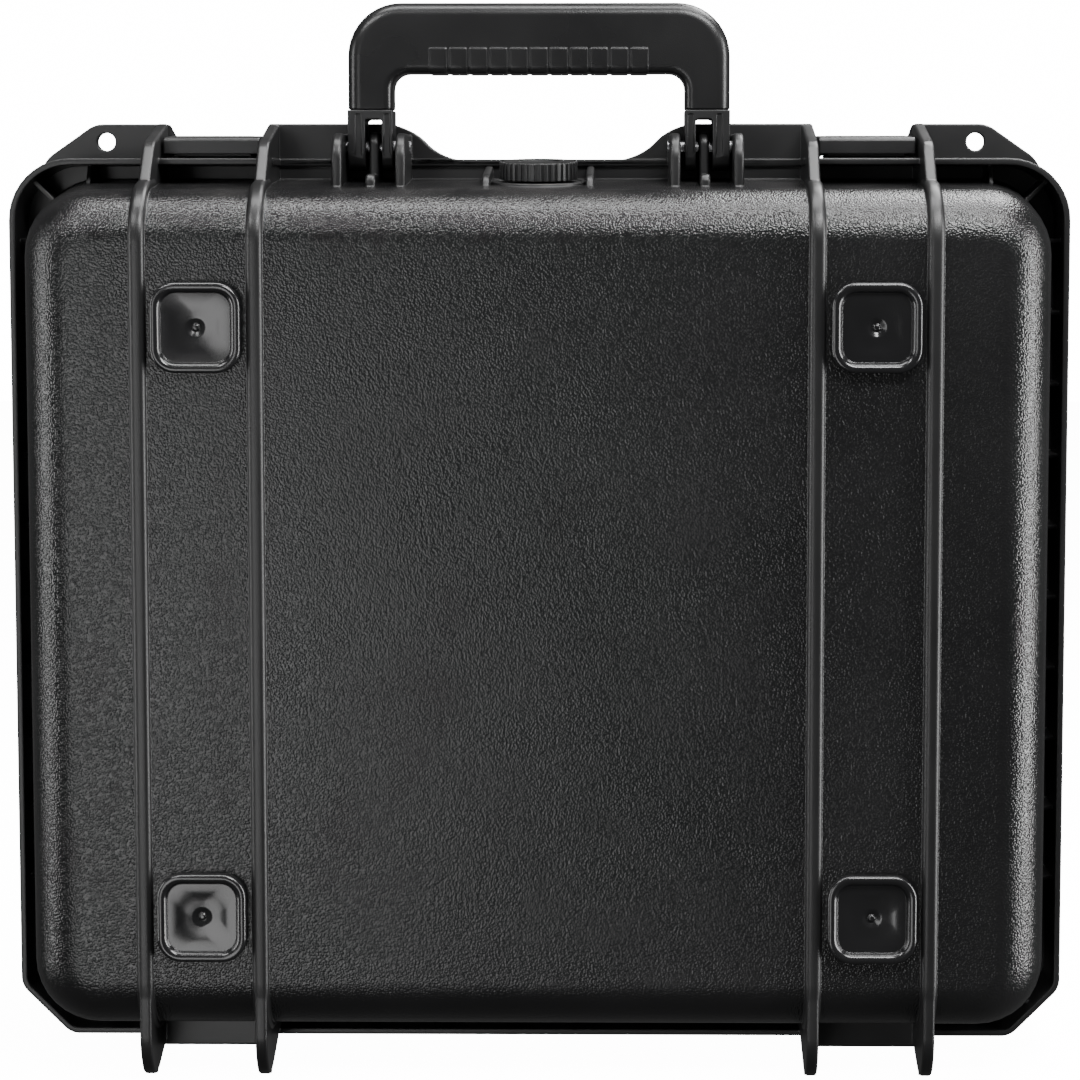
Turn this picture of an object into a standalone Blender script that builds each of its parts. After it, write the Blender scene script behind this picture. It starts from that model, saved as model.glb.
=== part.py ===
"""Hard carrying case for a small drone, in metres, +Z up.

The case stands on its hinge side with the handle up. The base half faces -Y with its four feet, and the
lid half faces +Y. Both halves are drawn by one set of functions: `side` is -1 for the base and +1 for the
lid, `out` is the distance from the parting plane, and z is the height above the surface it stands on.
"""

import math

import bmesh
import bpy
from mathutils import Matrix, Vector

# Case body
BASE, LID = -1, 1
BASE_DEPTH = 0.070  # parting plane to the flat face of the base
LID_DEPTH = 0.068
RIB_PROUD = 0.00275
FOOT_PROUD = 0.0045
PART_Y = (BASE_DEPTH + FOOT_PROUD - LID_DEPTH - RIB_PROUD) / 2
PART_GAP = 0.00015  # each half stops this short of the parting plane
GAP = 0.0003

FACE_HALF = 0.1937  # half width of the body at its flat face
FACE_LOW, FACE_HIGH = 0.0204, 0.3400
FACE_FILLET = 0.019
BODY_CORNER = 0.025
DRAFT = math.radians(5.0)
WALL = 0.003

RIM_HALF = 0.2057
RIM_LOW, RIM_HIGH = 0.0074, 0.3535
RIM_CORNER = 0.0240
RIM_CHAMFER = 0.0195
SKIRT_WALL = 0.0025
SKIRT_OUT = 0.031  # front edge of the rim's skirt
FLANGE_OUT = 0.0055
PLATE_OUT = 0.007  # front of the handle and padlock plates
PLATE_TOP = 0.3675
PLATE_LOW = RIM_HIGH - 0.0025
DIP_HIGH, DIP_X = 0.3532, (0.035, 0.056)  # the handle plate's dip over the valve, and its slopes' ends
PADLOCK_PLATE = (  # outer corners (x, z) of the right padlock plate
    (0.1745, PLATE_TOP), (0.178, 0.3666), (0.1962, 0.3540), (0.1992, 0.3490), (0.1992, 0.3380),
    (0.187, 0.3465), (0.178, PLATE_LOW),
)
WEB_HALF, WEB_FIRST, WEB_PITCH, WEB_COUNT = 0.0008, 0.060, 0.028, 10  # webs between skirt and wall
HINGE_WEB_X, LATCH_WEB_X = (0.012, 0.040, 0.068, 0.172), 0.167
SKIRT_BREAK_OUT = (PLATE_OUT, 0.045)  # room for the handle's forks and the knob
SKIRT_BREAK_Z = (0.3472, 0.360)
SEAL_OUTSET, SEAL_WIDTH, SEAL_DEPTH = 0.0041, 0.0030, 0.0032

# Reinforcing ribs, which end in ears at the latch side and fins at the hinge side
RIB_X = (-0.1496, -0.1054, 0.1054, 0.1496)
RIB_WIDTH = 0.0055
FIN_BACK, FIN_FLAT, FIN_RISE = 0.008, 0.008, 0.016
EAR_BACK, EAR_HIGH = 0.032, 0.358
BAY_X = (-0.1275, 0.1275)  # middles of the latch and hinge bays
BAY_HALF = (RIB_X[1] - RIB_X[0] - RIB_WIDTH) / 2

# Hinge
HINGE_Z = 0.006
KNUCKLE_RADIUS, HINGE_PIN_RADIUS = 0.0045, 0.0015
LID_KNUCKLE_HALF = 0.0108
KNUCKLE_GAP, KNUCKLE_CLEAR = 0.0004, 0.0008
LIP_LOW, LIP_HIGH, LIP_OUT = 0.0046, 0.0195, 0.037

# Latches
LATCH_AXIS = (0.020, 0.3582)  # out on the lid, z
LINK_AXIS = (0.006, 0.3571)
LATCH_PIN_RADIUS, LINK_PIN_RADIUS = 0.0015, 0.0010
LEVER_HALF, HOOK_HALF = 0.0189, 0.0150
LEVER_FREE_END = -0.024
LEVER_BOSS, LINK_BOSS = 0.0042, 0.0021
LEVER_FREE_Z, LEVER_BACK_Z = (0.3554, 0.3608, 0.3618), 0.3628  # heights at the free end, and at the middle
LEVER_UNDER, LEVER_WALL, LEVER_ROOF = 0.3550, 0.0025, 0.3596
HOOK_UNDER, HOOK_TIP, HOOK_ROOF = 0.3556, 0.3544, 0.3588
CATCH_OUT, CATCH_HALF, CATCH_PROUD = (0.009, 0.015, 0.0165), 0.014, 0.0004

# Handle
HANDLE_AXIS = (0.017, 0.358)  # out on the base, z
HANDLE_TOP, HANDLE_UNDER, GRIP_END = 0.4136, 0.3864, 0.3725
HANDLE_HALF, HANDLE_INNER = 0.0735, 0.0567
HANDLE_CORNER, HANDLE_INNER_CORNER = 0.0206, 0.0057
HANDLE_THICK = 0.019
MOUNT_X = (0.0527, 0.0642, 0.0771)  # inner, middle and outer mounting rib
MOUNT_WIDTH, MOUNT_TOP, MOUNT_OUT = 0.004, 0.363, 0.042
MOUNT_ROUND = 0.010
SLOT_HALF, SLOT_TOP = 0.0028, 0.3678
HANDLE_PIN_RADIUS, FORK_RADIUS = 0.0025, 0.0092
CORE_INSET, CORE_HALF_THICK = 0.0048, 0.0048  # the stiff core inside the soft grip
GRIP_ROUNDING = 0.0035

# Purge valve
VALVE_OUT = 0.0275
KNOB_RADIUS, KNOB_HEIGHT, KNOB_TEETH = 0.01515, 0.0082, 36
BOSS_RADIUS, BOSS_HIGH = 0.01885, 0.0012
TOOTH_DEPTH, KNOB_EDGE, KNOB_FLAT = 0.0009, 0.0014, 0.008
KNOB_LIFT, KNOB_WALL, KNOB_RECESS = 0.0006, 0.00195, 0.003
STEM_RADIUS, STEM_LOW = 0.003, -0.007
BUSH_RADIUS, BUSH_LOW, BUSH_FLANGE = 0.0055, -0.009, (0.002, 0.001)
NUT_RADIUS, NUT_HIGH = 0.0095, 0.004
RING_RADIUS, RING_MIDDLE = 0.0014, 0.0115
VALVE_RIB_X, VALVE_RIB_HALF = 0.020, 0.0015

# Feet and foam
FOOT_X, FOOT_Z = (-0.1275, 0.1275), (0.0648, 0.2895)
FOOT_HALF, FOOT_CORNER = 0.017, 0.0036
PADLOCK_X, PADLOCK_Z, PADLOCK_RADIUS = 0.172, 0.3605, 0.0035
FOAM_GAP = 0.0008
BASE_FOAM_TOP, LID_FOAM_TOP = 0.003, 0.034  # out of each foam's open face
POCKETS = (  # middle x, middle z, half width, half height, depth
    (-0.062, 0.205, 0.100, 0.082, 0.050),
    (0.112, 0.205, 0.050, 0.082, 0.045),
    (-0.120, 0.070, 0.040, 0.028, 0.040),
    (-0.022, 0.070, 0.040, 0.028, 0.040),
    (0.100, 0.070, 0.060, 0.028, 0.035),
)


def place_y(side, out):
    return PART_Y + side * out


def depth_of(side):
    return BASE_DEPTH if side == BASE else LID_DEPTH


def material(name, colour, roughness, metallic=0.0):
    made = bpy.data.materials.new(name)
    made.use_nodes = True
    shader = made.node_tree.nodes["Principled BSDF"]
    shader.inputs["Base Color"].default_value = (*colour, 1.0)
    shader.inputs["Roughness"].default_value = roughness
    shader.inputs["Metallic"].default_value = metallic
    return made


def make_object(name, mesh_data, finish=None):
    """Closes a bmesh into a named object with its faces pointing out."""
    bmesh.ops.recalc_face_normals(mesh_data, faces=mesh_data.faces)
    mesh = bpy.data.meshes.new(name)
    mesh_data.to_mesh(mesh)
    mesh_data.free()
    if finish:
        mesh.materials.append(finish)
    made = bpy.data.objects.new(name, mesh)
    bpy.context.scene.collection.objects.link(made)
    return made


def smooth(made, angle=35.0):
    made.data.shade_smooth()
    made.data.set_sharp_from_angle(angle=math.radians(angle))


def arc(centre, radii, start, end, steps):
    """Points of an elliptical arc in the plane, angles in degrees."""
    points = []
    for step in range(steps + 1):
        angle = math.radians(start + (end - start) * step / steps)
        points.append((centre[0] + radii[0] * math.cos(angle), centre[1] + radii[1] * math.sin(angle)))
    return points


def outline(half, low, high, top_corner, bottom_corner, chamfered=False, centre_x=0.0, steps=6):
    """Points of a rounded rectangle in XZ; its lower corners may be straight chamfers."""
    points = []
    quadrants = ((1, -1, -90, bottom_corner), (1, 1, 0, top_corner), (-1, 1, 90, top_corner),
                 (-1, -1, 180, bottom_corner))
    for sign_x, sign_z, start, radius in quadrants:
        centre = (centre_x + sign_x * (half - radius), high - radius if sign_z > 0 else low + radius)
        corner = arc(centre, (radius, radius), start, start + 90, steps)
        if chamfered and sign_z < 0:
            (first_x, first_z), (last_x, last_z) = corner[0], corner[-1]
            corner = [(first_x + (last_x - first_x) * k / steps, first_z + (last_z - first_z) * k / steps)
                      for k in range(steps + 1)]
        points += corner
    return points


def loft(name, rings, finish=None):
    """Skins a list of (y, points) rings and caps both ends."""
    skin = bmesh.new()
    loops = [[skin.verts.new((x, y, z)) for x, z in points] for y, points in rings]
    for first, second in zip(loops, loops[1:]):
        for k in range(len(first)):
            following = (k + 1) % len(first)
            skin.faces.new((first[k], first[following], second[following], second[k]))
    skin.faces.new(loops[0])
    skin.faces.new(loops[-1])
    return make_object(name, skin, finish)


def prism_x(name, section, low, high, side, finish=None):
    """A section of (out, z) points pushed from x = low to x = high."""
    solid = bmesh.new()
    ends = [[solid.verts.new((x, place_y(side, out), z)) for out, z in section] for x in (low, high)]
    for k in range(len(section)):
        following = (k + 1) % len(section)
        solid.faces.new((ends[0][k], ends[0][following], ends[1][following], ends[1][k]))
    solid.faces.new(ends[0])
    solid.faces.new(ends[1])
    return make_object(name, solid, finish)


def prism_y(name, points, out_low, out_high, side, finish=None):
    """A flat outline of (x, z) points pushed from one distance off the parting plane to another."""
    return loft(name, [(place_y(side, out_low), points), (place_y(side, out_high), points)], finish)


def box(name, x_range, out_range, z_range, side, finish=None):
    section = [(out_range[0], z_range[0]), (out_range[1], z_range[0]), (out_range[1], z_range[1]),
               (out_range[0], z_range[1])]
    return prism_x(name, section, x_range[0], x_range[1], side, finish)


def rod_x(name, x_range, out, z, radius, side, finish=None, steps=20):
    return prism_x(name, arc((out, z), (radius, radius), 0, 360, steps)[:-1], x_range[0], x_range[1], side,
                   finish)


def rod_y(name, x, z, radius, out_range, side, steps=24):
    return prism_y(name, arc((x, z), (radius, radius), 0, 360, steps)[:-1], out_range[0], out_range[1], side)


def boolean(target, operands, operation):
    """Leaves a live Boolean with a hidden collection of operands on the target."""
    group = bpy.data.collections.new(f"{target.name}_{operation.lower()}_{len(target.modifiers)}")
    bpy.context.scene.collection.children.link(group)
    group.hide_render = True
    for operand in operands:
        bpy.context.scene.collection.objects.unlink(operand)
        group.objects.link(operand)
        operand.hide_render = True
        operand.display_type = "WIRE"
    modifier = target.modifiers.new(operation.title(), "BOOLEAN")
    modifier.operation = operation
    modifier.solver = "EXACT"
    modifier.operand_type = "COLLECTION"
    modifier.collection = group


def body_ring(side, out, inset=0.0, steps=6):
    """The outside of the body at this distance from the parting plane, drawn in by inset."""
    grown = (depth_of(side) - out) * math.tan(DRAFT) - inset
    return (place_y(side, out), outline(FACE_HALF + grown, FACE_LOW - grown, FACE_HIGH + grown,
                                        BODY_CORNER + grown, BODY_CORNER + grown, steps=steps))


def bowl_rings(side, thickness, open_out, steps=5):
    """Rings from the middle of the closed face, round the fillet and along the wall to open_out."""
    depth = depth_of(side)
    radius = FACE_FILLET - thickness
    rings = []
    for step in range(steps + 1):
        angle = math.pi / 2 * step / steps
        out = depth - thickness - radius * (1 - math.cos(angle))
        rings.append(body_ring(side, out, thickness + radius * (1 - math.sin(angle))))
    rings.append(body_ring(side, open_out, thickness))
    return rings


def rim_ring(side, out, inset=0.0):
    return (place_y(side, out), outline(RIM_HALF - inset, RIM_LOW + inset, RIM_HIGH - inset,
                                        RIM_CORNER - inset, RIM_CHAMFER - inset * 0.5, chamfered=True))


def wall_heights(depth, out, offset=0.0):
    """Heights of the drafted lower and upper walls at this distance from the parting plane."""
    grown = (depth - out) * math.tan(DRAFT) + offset
    return FACE_LOW - grown, FACE_HIGH + grown


def skin_points(depth, offset, steps):
    """(out, z) points round both fillets of the face, offset from the body's outside, hinge side first."""
    radius = FACE_FILLET + offset
    points = []
    for step in range(-steps, steps + 1):
        angle = math.pi / 2 * step / steps
        out = depth - FACE_FILLET + radius * math.cos(angle)
        low, high = wall_heights(depth, out, radius * (abs(math.sin(angle))) - FACE_FILLET)
        points.append((out, high if step > 0 else low))
        if step == 0:
            points.append((out, high))
    return points


def rib_section(side):
    """One rib from its fin at the hinge side, over the face, to its ear at the latch side."""
    depth = depth_of(side)
    points = [(PLATE_OUT, RIM_LOW + 0.0012), (SKIRT_OUT - 0.0015, RIM_LOW + 0.0012),
              (depth - FIN_BACK - FIN_FLAT, 0.0)]
    points += arc((depth - FIN_BACK, FIN_RISE), (FIN_BACK + RIB_PROUD, FIN_RISE), -90, 0, 6)
    outside = skin_points(depth, RIB_PROUD, 6)
    points += outside[len(outside) // 2:]
    points += [(depth - EAR_BACK + 0.0015, EAR_HIGH - 0.0025), (depth - EAR_BACK - 0.0015, EAR_HIGH + 0.0006)]
    points += [(0.004, PLATE_TOP + 0.0001), (0.004, wall_heights(depth, 0.004, -WALL / 2)[1])]
    points += reversed(skin_points(depth, -WALL / 2, 4))
    points += [(PLATE_OUT, wall_heights(depth, PLATE_OUT, -WALL / 2)[0])]
    return points


def plate_outlines():
    """The handle plate with its dip over the valve, and the two padlock plates."""
    low = PLATE_LOW
    rise = PLATE_TOP - DIP_HIGH
    right = []
    for step in range(9):
        share = step / 8
        right.append((DIP_X[0] + (DIP_X[1] - DIP_X[0]) * share,
                      DIP_HIGH + rise * (1 - math.cos(math.pi * share)) / 2))
    middle = [(-x, z) for x, z in reversed(right)] + right
    reach = RIB_X[2] + 0.001
    handle = [(-reach, low), (-reach, PLATE_TOP)] + middle + [(reach, PLATE_TOP), (reach, low)]
    inner = RIB_X[3] - 0.001
    padlock = [(inner, low), (inner, PLATE_TOP), *PADLOCK_PLATE]
    return handle, padlock, [(-x, z) for x, z in padlock]


def channel_gussets(side):
    """Thin webs between the skirt and the wall."""
    webs = []
    out_range = (FLANGE_OUT - 0.002, SKIRT_OUT - 0.004)
    thin = WEB_HALF
    grown = (depth_of(side) - SKIRT_OUT) * math.tan(DRAFT)
    wall_x, skirt_x = FACE_HALF + grown - 0.001, RIM_HALF - SKIRT_WALL / 2
    for sign in (-1, 1):
        reach = sorted((sign * wall_x, sign * skirt_x))
        for k in range(WEB_COUNT):
            z = WEB_FIRST + WEB_PITCH * k
            webs.append(box("web", reach, out_range, (z - thin, z + thin), side))
        for x in HINGE_WEB_X:
            z_range = (RIM_LOW + SKIRT_WALL / 2, FACE_LOW - grown + 0.001)
            webs.append(box("web", (sign * x - thin, sign * x + thin), out_range, z_range, side))
        z_range = (FACE_HIGH + grown - 0.001, RIM_HIGH - SKIRT_WALL / 2)
        middle = sign * LATCH_WEB_X
        webs.append(box("web", (middle - thin, middle + thin), out_range, z_range, side))
    return webs


def knuckle(x_range, side):
    """A hinge barrel with the tongue that joins it to the rim."""
    barrel = arc((0, HINGE_Z), (KNUCKLE_RADIUS, KNUCKLE_RADIUS), 90, 330, 12)
    return prism_x("knuckle", barrel + [(0.009, RIM_LOW - 0.0002), (0.009, HINGE_Z + KNUCKLE_RADIUS)],
                   x_range[0], x_range[1], side)


def shell_half(name, side, finish):
    """One half of the case: body, rim with its skirt, ribs, plates, hinge knuckles and lips."""
    rings = bowl_rings(side, 0.0, FLANGE_OUT)
    rings += [rim_ring(side, FLANGE_OUT, SKIRT_WALL), rim_ring(side, SKIRT_OUT, SKIRT_WALL - 0.0004),
              rim_ring(side, SKIRT_OUT, 0.0006), rim_ring(side, SKIRT_OUT - 0.0008), rim_ring(side, PART_GAP)]
    if side == LID:
        rings += [body_ring(side, PART_GAP, -SEAL_OUTSET), body_ring(side, SEAL_DEPTH, -SEAL_OUTSET),
                  body_ring(side, SEAL_DEPTH, SEAL_WIDTH - SEAL_OUTSET),
                  body_ring(side, PART_GAP, SEAL_WIDTH - SEAL_OUTSET)]
    rings += list(reversed(bowl_rings(side, WALL, PART_GAP)))
    shell = loft(name, rings, finish)
    if side == BASE:
        between = RIB_X[2] - RIB_WIDTH / 2
        boolean(shell, [box("skirt_break", (-between, between), SKIRT_BREAK_OUT, SKIRT_BREAK_Z, side)],
                "DIFFERENCE")

    section = rib_section(side)
    additions = [prism_x("rib", section, x - RIB_WIDTH / 2, x + RIB_WIDTH / 2, side) for x in RIB_X]
    additions += [prism_y("plate", points, 0.0004, PLATE_OUT, side) for points in plate_outlines()]
    additions += channel_gussets(side)
    clearances, pin_holes = [], []
    for x in BAY_X:
        lid_span = (x - LID_KNUCKLE_HALF, x + LID_KNUCKLE_HALF)
        base_spans = ((x - BAY_HALF + 0.0002, lid_span[0] - KNUCKLE_GAP),
                      (lid_span[1] + KNUCKLE_GAP, x + BAY_HALF - 0.0002))
        own, other = ([lid_span], base_spans) if side == LID else (base_spans, [lid_span])
        additions += [knuckle(span, side) for span in own]
        clearances += [rod_x("clearance", (span[0] - KNUCKLE_GAP, span[1] + KNUCKLE_GAP), 0, HINGE_Z,
                             KNUCKLE_RADIUS + KNUCKLE_CLEAR, side) for span in other]
        pin_holes.append(rod_x("pin_hole", (x - BAY_HALF, x + BAY_HALF), 0, HINGE_Z,
                               HINGE_PIN_RADIUS + GAP, side, steps=16))
        bay = (x - BAY_HALF - 0.001, x + BAY_HALF + 0.001)
        additions.append(box("hinge_lip", bay, (SKIRT_OUT - 0.001, LIP_OUT), (LIP_LOW, LIP_HIGH), side))
    for sign in (-1, 1):
        clearances.append(rod_y("padlock_hole", sign * PADLOCK_X, PADLOCK_Z, PADLOCK_RADIUS,
                                (-0.001, 0.010), side))
    return shell, additions, clearances, pin_holes


def mount_section(middle):
    """Handle mounting rib; the middle one stays under the folded arm."""
    out, z = HANDLE_AXIS
    wall = FACE_HIGH + 0.0042
    if not middle:
        return [(0.005, wall), (0.005, MOUNT_TOP), (MOUNT_OUT - MOUNT_ROUND, MOUNT_TOP)] + arc(
            (MOUNT_OUT - MOUNT_ROUND, MOUNT_TOP - MOUNT_ROUND), (MOUNT_ROUND, MOUNT_ROUND), 75, 0, 4) + [
            (MOUNT_OUT, FACE_HIGH)]
    low = z - HANDLE_THICK / 2 - 0.0012
    return [(0.005, wall), (0.005, MOUNT_TOP + 0.0008)] + arc((out, z), (0.0058, 0.0058), 90, -25, 6) + [
        (out + 0.0065, low), (MOUNT_OUT - 0.002, low), (MOUNT_OUT, low - 0.003), (MOUNT_OUT, FACE_HIGH)]


def valve_frame():
    """Matrix whose z axis is the valve's axis and whose origin is on the top wall of the base."""
    height = FACE_HIGH + (BASE_DEPTH - VALVE_OUT) * math.tan(DRAFT)
    return Matrix.Translation((0, place_y(BASE, VALVE_OUT), height)) @ Matrix.Rotation(DRAFT, 4, "X")


def turned(name, profile, steps, finish=None, teeth=0):
    """A profile of (radius, height) turned about the valve's axis; teeth alternate the outer radius."""
    solid = bmesh.new()
    frame = valve_frame()
    loops = []
    for radius, height in profile:
        loop = []
        for k in range(steps):
            angle = 2 * math.pi * k / steps
            cut = TOOTH_DEPTH if teeth and k % 2 and radius > KNOB_RADIUS - TOOTH_DEPTH else 0.0
            loop.append(solid.verts.new(frame @ Vector(((radius - cut) * math.cos(angle),
                                                        (radius - cut) * math.sin(angle), height))))
        loops.append(loop)
    for first, second in zip(loops, loops[1:]):
        for k in range(steps):
            following = (k + 1) % steps
            solid.faces.new((first[k], first[following], second[following], second[k]))
    if profile[0] == profile[-1]:
        bmesh.ops.remove_doubles(solid, verts=solid.verts, dist=1e-7)
    else:
        solid.faces.new(loops[0])
        solid.faces.new(loops[-1])
    return make_object(name, solid, finish)


def base_half(finish, steel, rubber):
    shell, additions, clearances, pin_holes = shell_half("base_shell", BASE, finish)
    for sign in (-1, 1):
        for index, x in enumerate(MOUNT_X):
            span = (sign * x - MOUNT_WIDTH / 2, sign * x + MOUNT_WIDTH / 2)
            additions.append(prism_x("mount", mount_section(index == 1), span[0], span[1], BASE))
        reach = sorted((sign * 0.048, sign * 0.082))
        pin_holes.append(rod_x("pin_hole", reach, HANDLE_AXIS[0], HANDLE_AXIS[1],
                               HANDLE_PIN_RADIUS + GAP, BASE))
        span = (sign * VALVE_RIB_X - VALVE_RIB_HALF, sign * VALVE_RIB_X + VALVE_RIB_HALF)
        valve_rib = [(0.005, FACE_HIGH + 0.003), (0.005, 0.3510), (0.036, 0.3470), (0.040, FACE_HIGH)]
        additions.append(prism_x("valve_rib", valve_rib, span[0], span[1], BASE))
    for x in BAY_X:
        foot_z, top_z = RIM_HIGH - 0.001, RIM_HIGH + CATCH_PROUD
        catch = [(CATCH_OUT[0], foot_z), (CATCH_OUT[0], top_z), (CATCH_OUT[1], top_z), (CATCH_OUT[2], foot_z)]
        additions.append(prism_x("catch", catch, x - CATCH_HALF, x + CATCH_HALF, BASE))
    boss_low = -WALL / 2
    additions.append(turned("boss", ((BOSS_RADIUS, boss_low), (BOSS_RADIUS, BOSS_HIGH)), 36))
    pin_holes.append(turned("valve_hole", ((BUSH_RADIUS + GAP, -0.008), (BUSH_RADIUS + GAP, 0.004)), 24))
    boolean(shell, additions, "UNION")
    boolean(shell, clearances + pin_holes, "DIFFERENCE")
    smooth(shell)

    for label, x in (("left", BAY_X[0]), ("right", BAY_X[1])):
        pin = rod_x(f"hinge_pin_{label}", (x - BAY_HALF + 0.0005, x + BAY_HALF - 0.0005), 0, HINGE_Z,
                    HINGE_PIN_RADIUS, BASE, steel, steps=12)
        smooth(pin)
    for label, sign in (("left", -1), ("right", 1)):
        reach = sorted((sign * (MOUNT_X[0] - 0.0026), sign * (MOUNT_X[2] + 0.0026)))
        pin = rod_x(f"handle_pin_{label}", reach, HANDLE_AXIS[0], HANDLE_AXIS[1], HANDLE_PIN_RADIUS, BASE,
                    steel, steps=16)
        smooth(pin)
    for row, z in (("hinge", FOOT_Z[0]), ("handle", FOOT_Z[1])):
        for label, x in (("left", FOOT_X[0]), ("right", FOOT_X[1])):
            foot(f"foot_{row}_{label}", x, z, rubber)
    return shell


def foot(name, x, z, finish):
    """Square foot: a rounded raised ring round a dished panel with a dimple."""
    profile = ((FOOT_HALF - 0.0004, GAP), (FOOT_HALF, 0.0028), (FOOT_HALF - 0.0014, FOOT_PROUD),
               (FOOT_HALF - 0.0027, FOOT_PROUD), (FOOT_HALF - 0.0035, 0.0034), (FOOT_HALF - 0.0038, 0.0016),
               (0.0036, 0.0013), (0.0008, 0.0008))
    rings = []
    for half, proud in profile:
        corner = max(FOOT_CORNER - (FOOT_HALF - half) * 0.6, half * 0.3)
        rings.append((place_y(BASE, BASE_DEPTH + proud),
                      outline(half, z - half, z + half, corner, corner, centre_x=x, steps=3)))
    smooth(loft(name, rings, finish), 50)


def lid_half(finish, steel, rubber):
    shell, additions, clearances, pin_holes = shell_half("lid_shell", LID, finish)
    for label, x in (("left", BAY_X[0]), ("right", BAY_X[1])):
        reach = (x - BAY_HALF - RIB_WIDTH + 0.0008, x + BAY_HALF + RIB_WIDTH - 0.0008)
        pin_holes.append(rod_x("pin_hole", (reach[0] - GAP, reach[1] + GAP), LATCH_AXIS[0], LATCH_AXIS[1],
                               LATCH_PIN_RADIUS + GAP, LID, steps=16))
        smooth(rod_x(f"latch_pin_{label}", reach, LATCH_AXIS[0], LATCH_AXIS[1], LATCH_PIN_RADIUS, LID, steel,
                     steps=12))
    boolean(shell, additions, "UNION")
    boolean(shell, clearances + pin_holes, "DIFFERENCE")
    smooth(shell)

    outer, inner = GAP - SEAL_OUTSET, SEAL_WIDTH - SEAL_OUTSET - GAP
    low, high = PART_GAP + GAP, SEAL_DEPTH - GAP
    rings = [body_ring(LID, out, inset)
             for out, inset in ((low, outer), (high, outer), (high, inner), (low, inner))]
    seal = bmesh.new()
    loops = [[seal.verts.new((x, y, z)) for x, z in points] for y, points in rings]
    for first, second in zip(loops, loops[1:] + loops[:1]):
        for k in range(len(first)):
            following = (k + 1) % len(first)
            seal.faces.new((first[k], first[following], second[following], second[k]))
    smooth(make_object("lid_seal", seal, rubber))


def latch(label, x, finish, steel):
    """Outer lever on the lid's pin, and the hooked link that swings on the lever's own pin."""
    axis_out, axis_z = LATCH_AXIS
    link_out, link_z = LINK_AXIS
    free = LEVER_FREE_END
    section = [(free, LEVER_FREE_Z[0]), (free, LEVER_FREE_Z[1]), (free + 0.0012, LEVER_FREE_Z[2]),
               (-0.004, LEVER_BACK_Z), (axis_out - 0.001, axis_z + LEVER_BOSS + 0.0004)]
    section += arc((axis_out, axis_z), (LEVER_BOSS, LEVER_BOSS), 80, -90, 8)
    section += [(axis_out - 0.003, LEVER_UNDER), (free + 0.004, LEVER_UNDER)]
    lever = prism_x(f"latch_lever_{label}", section, x - LEVER_HALF, x + LEVER_HALF, LID, finish)
    hollow = box("hollow", (x - HOOK_HALF - 0.0004, x + HOOK_HALF + 0.0004), (free + LEVER_WALL, 0.030),
                 (0.352, LEVER_ROOF), LID)
    bores = ((axis_out, axis_z, LATCH_PIN_RADIUS), (link_out, link_z, LINK_PIN_RADIUS))
    holes = [rod_x("hole", (x - 0.020, x + 0.020), out, z, radius + GAP, LID, steps=16)
             for out, z, radius in bores]
    boolean(lever, [hollow] + holes, "DIFFERENCE")
    smooth(lever)

    hook_section = arc((link_out, link_z), (LINK_BOSS, LINK_BOSS), 100, -100, 8)
    hook_section += [(link_out - 0.006, HOOK_UNDER), (free + 0.0062, HOOK_UNDER),
                     (free + 0.0058, HOOK_TIP), (free + 0.0032, HOOK_TIP),
                     (free + 0.0031, HOOK_ROOF - 0.001), (free + 0.0045, HOOK_ROOF),
                     (link_out - 0.004, HOOK_ROOF)]
    hook = prism_x(f"latch_hook_{label}", hook_section, x - HOOK_HALF, x + HOOK_HALF, LID, finish)
    hook_hole = rod_x("hole", (x - 0.020, x + 0.020), link_out, link_z, LINK_PIN_RADIUS + GAP, LID, steps=12)
    boolean(hook, [hook_hole], "DIFFERENCE")
    smooth(hook)
    smooth(rod_x(f"link_pin_{label}", (x - LEVER_HALF + 0.0004, x + LEVER_HALF - 0.0004), link_out, link_z,
                 LINK_PIN_RADIUS, LID, steel, steps=12))


def bow(inset, foot_z):
    """The handle's outline as an upside-down U, drawn in by inset on both its edges."""
    half, inner = HANDLE_HALF - inset, HANDLE_INNER + inset
    top, under = HANDLE_TOP - inset, HANDLE_UNDER + inset
    outer_radius, inner_radius = HANDLE_CORNER - inset, HANDLE_INNER_CORNER + inset
    points = [(half, foot_z)]
    points += arc((half - outer_radius, top - outer_radius), (outer_radius, outer_radius), 0, 90, 7)
    points += arc((outer_radius - half, top - outer_radius), (outer_radius, outer_radius), 90, 180, 7)
    points += [(-half, foot_z), (-inner, foot_z)]
    points += arc((inner_radius - inner, under - inner_radius), (inner_radius, inner_radius), 180, 90, 4)
    points += arc((inner - inner_radius, under - inner_radius), (inner_radius, inner_radius), 90, 0, 4)
    points += [(inner, foot_z)]
    return points


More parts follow.
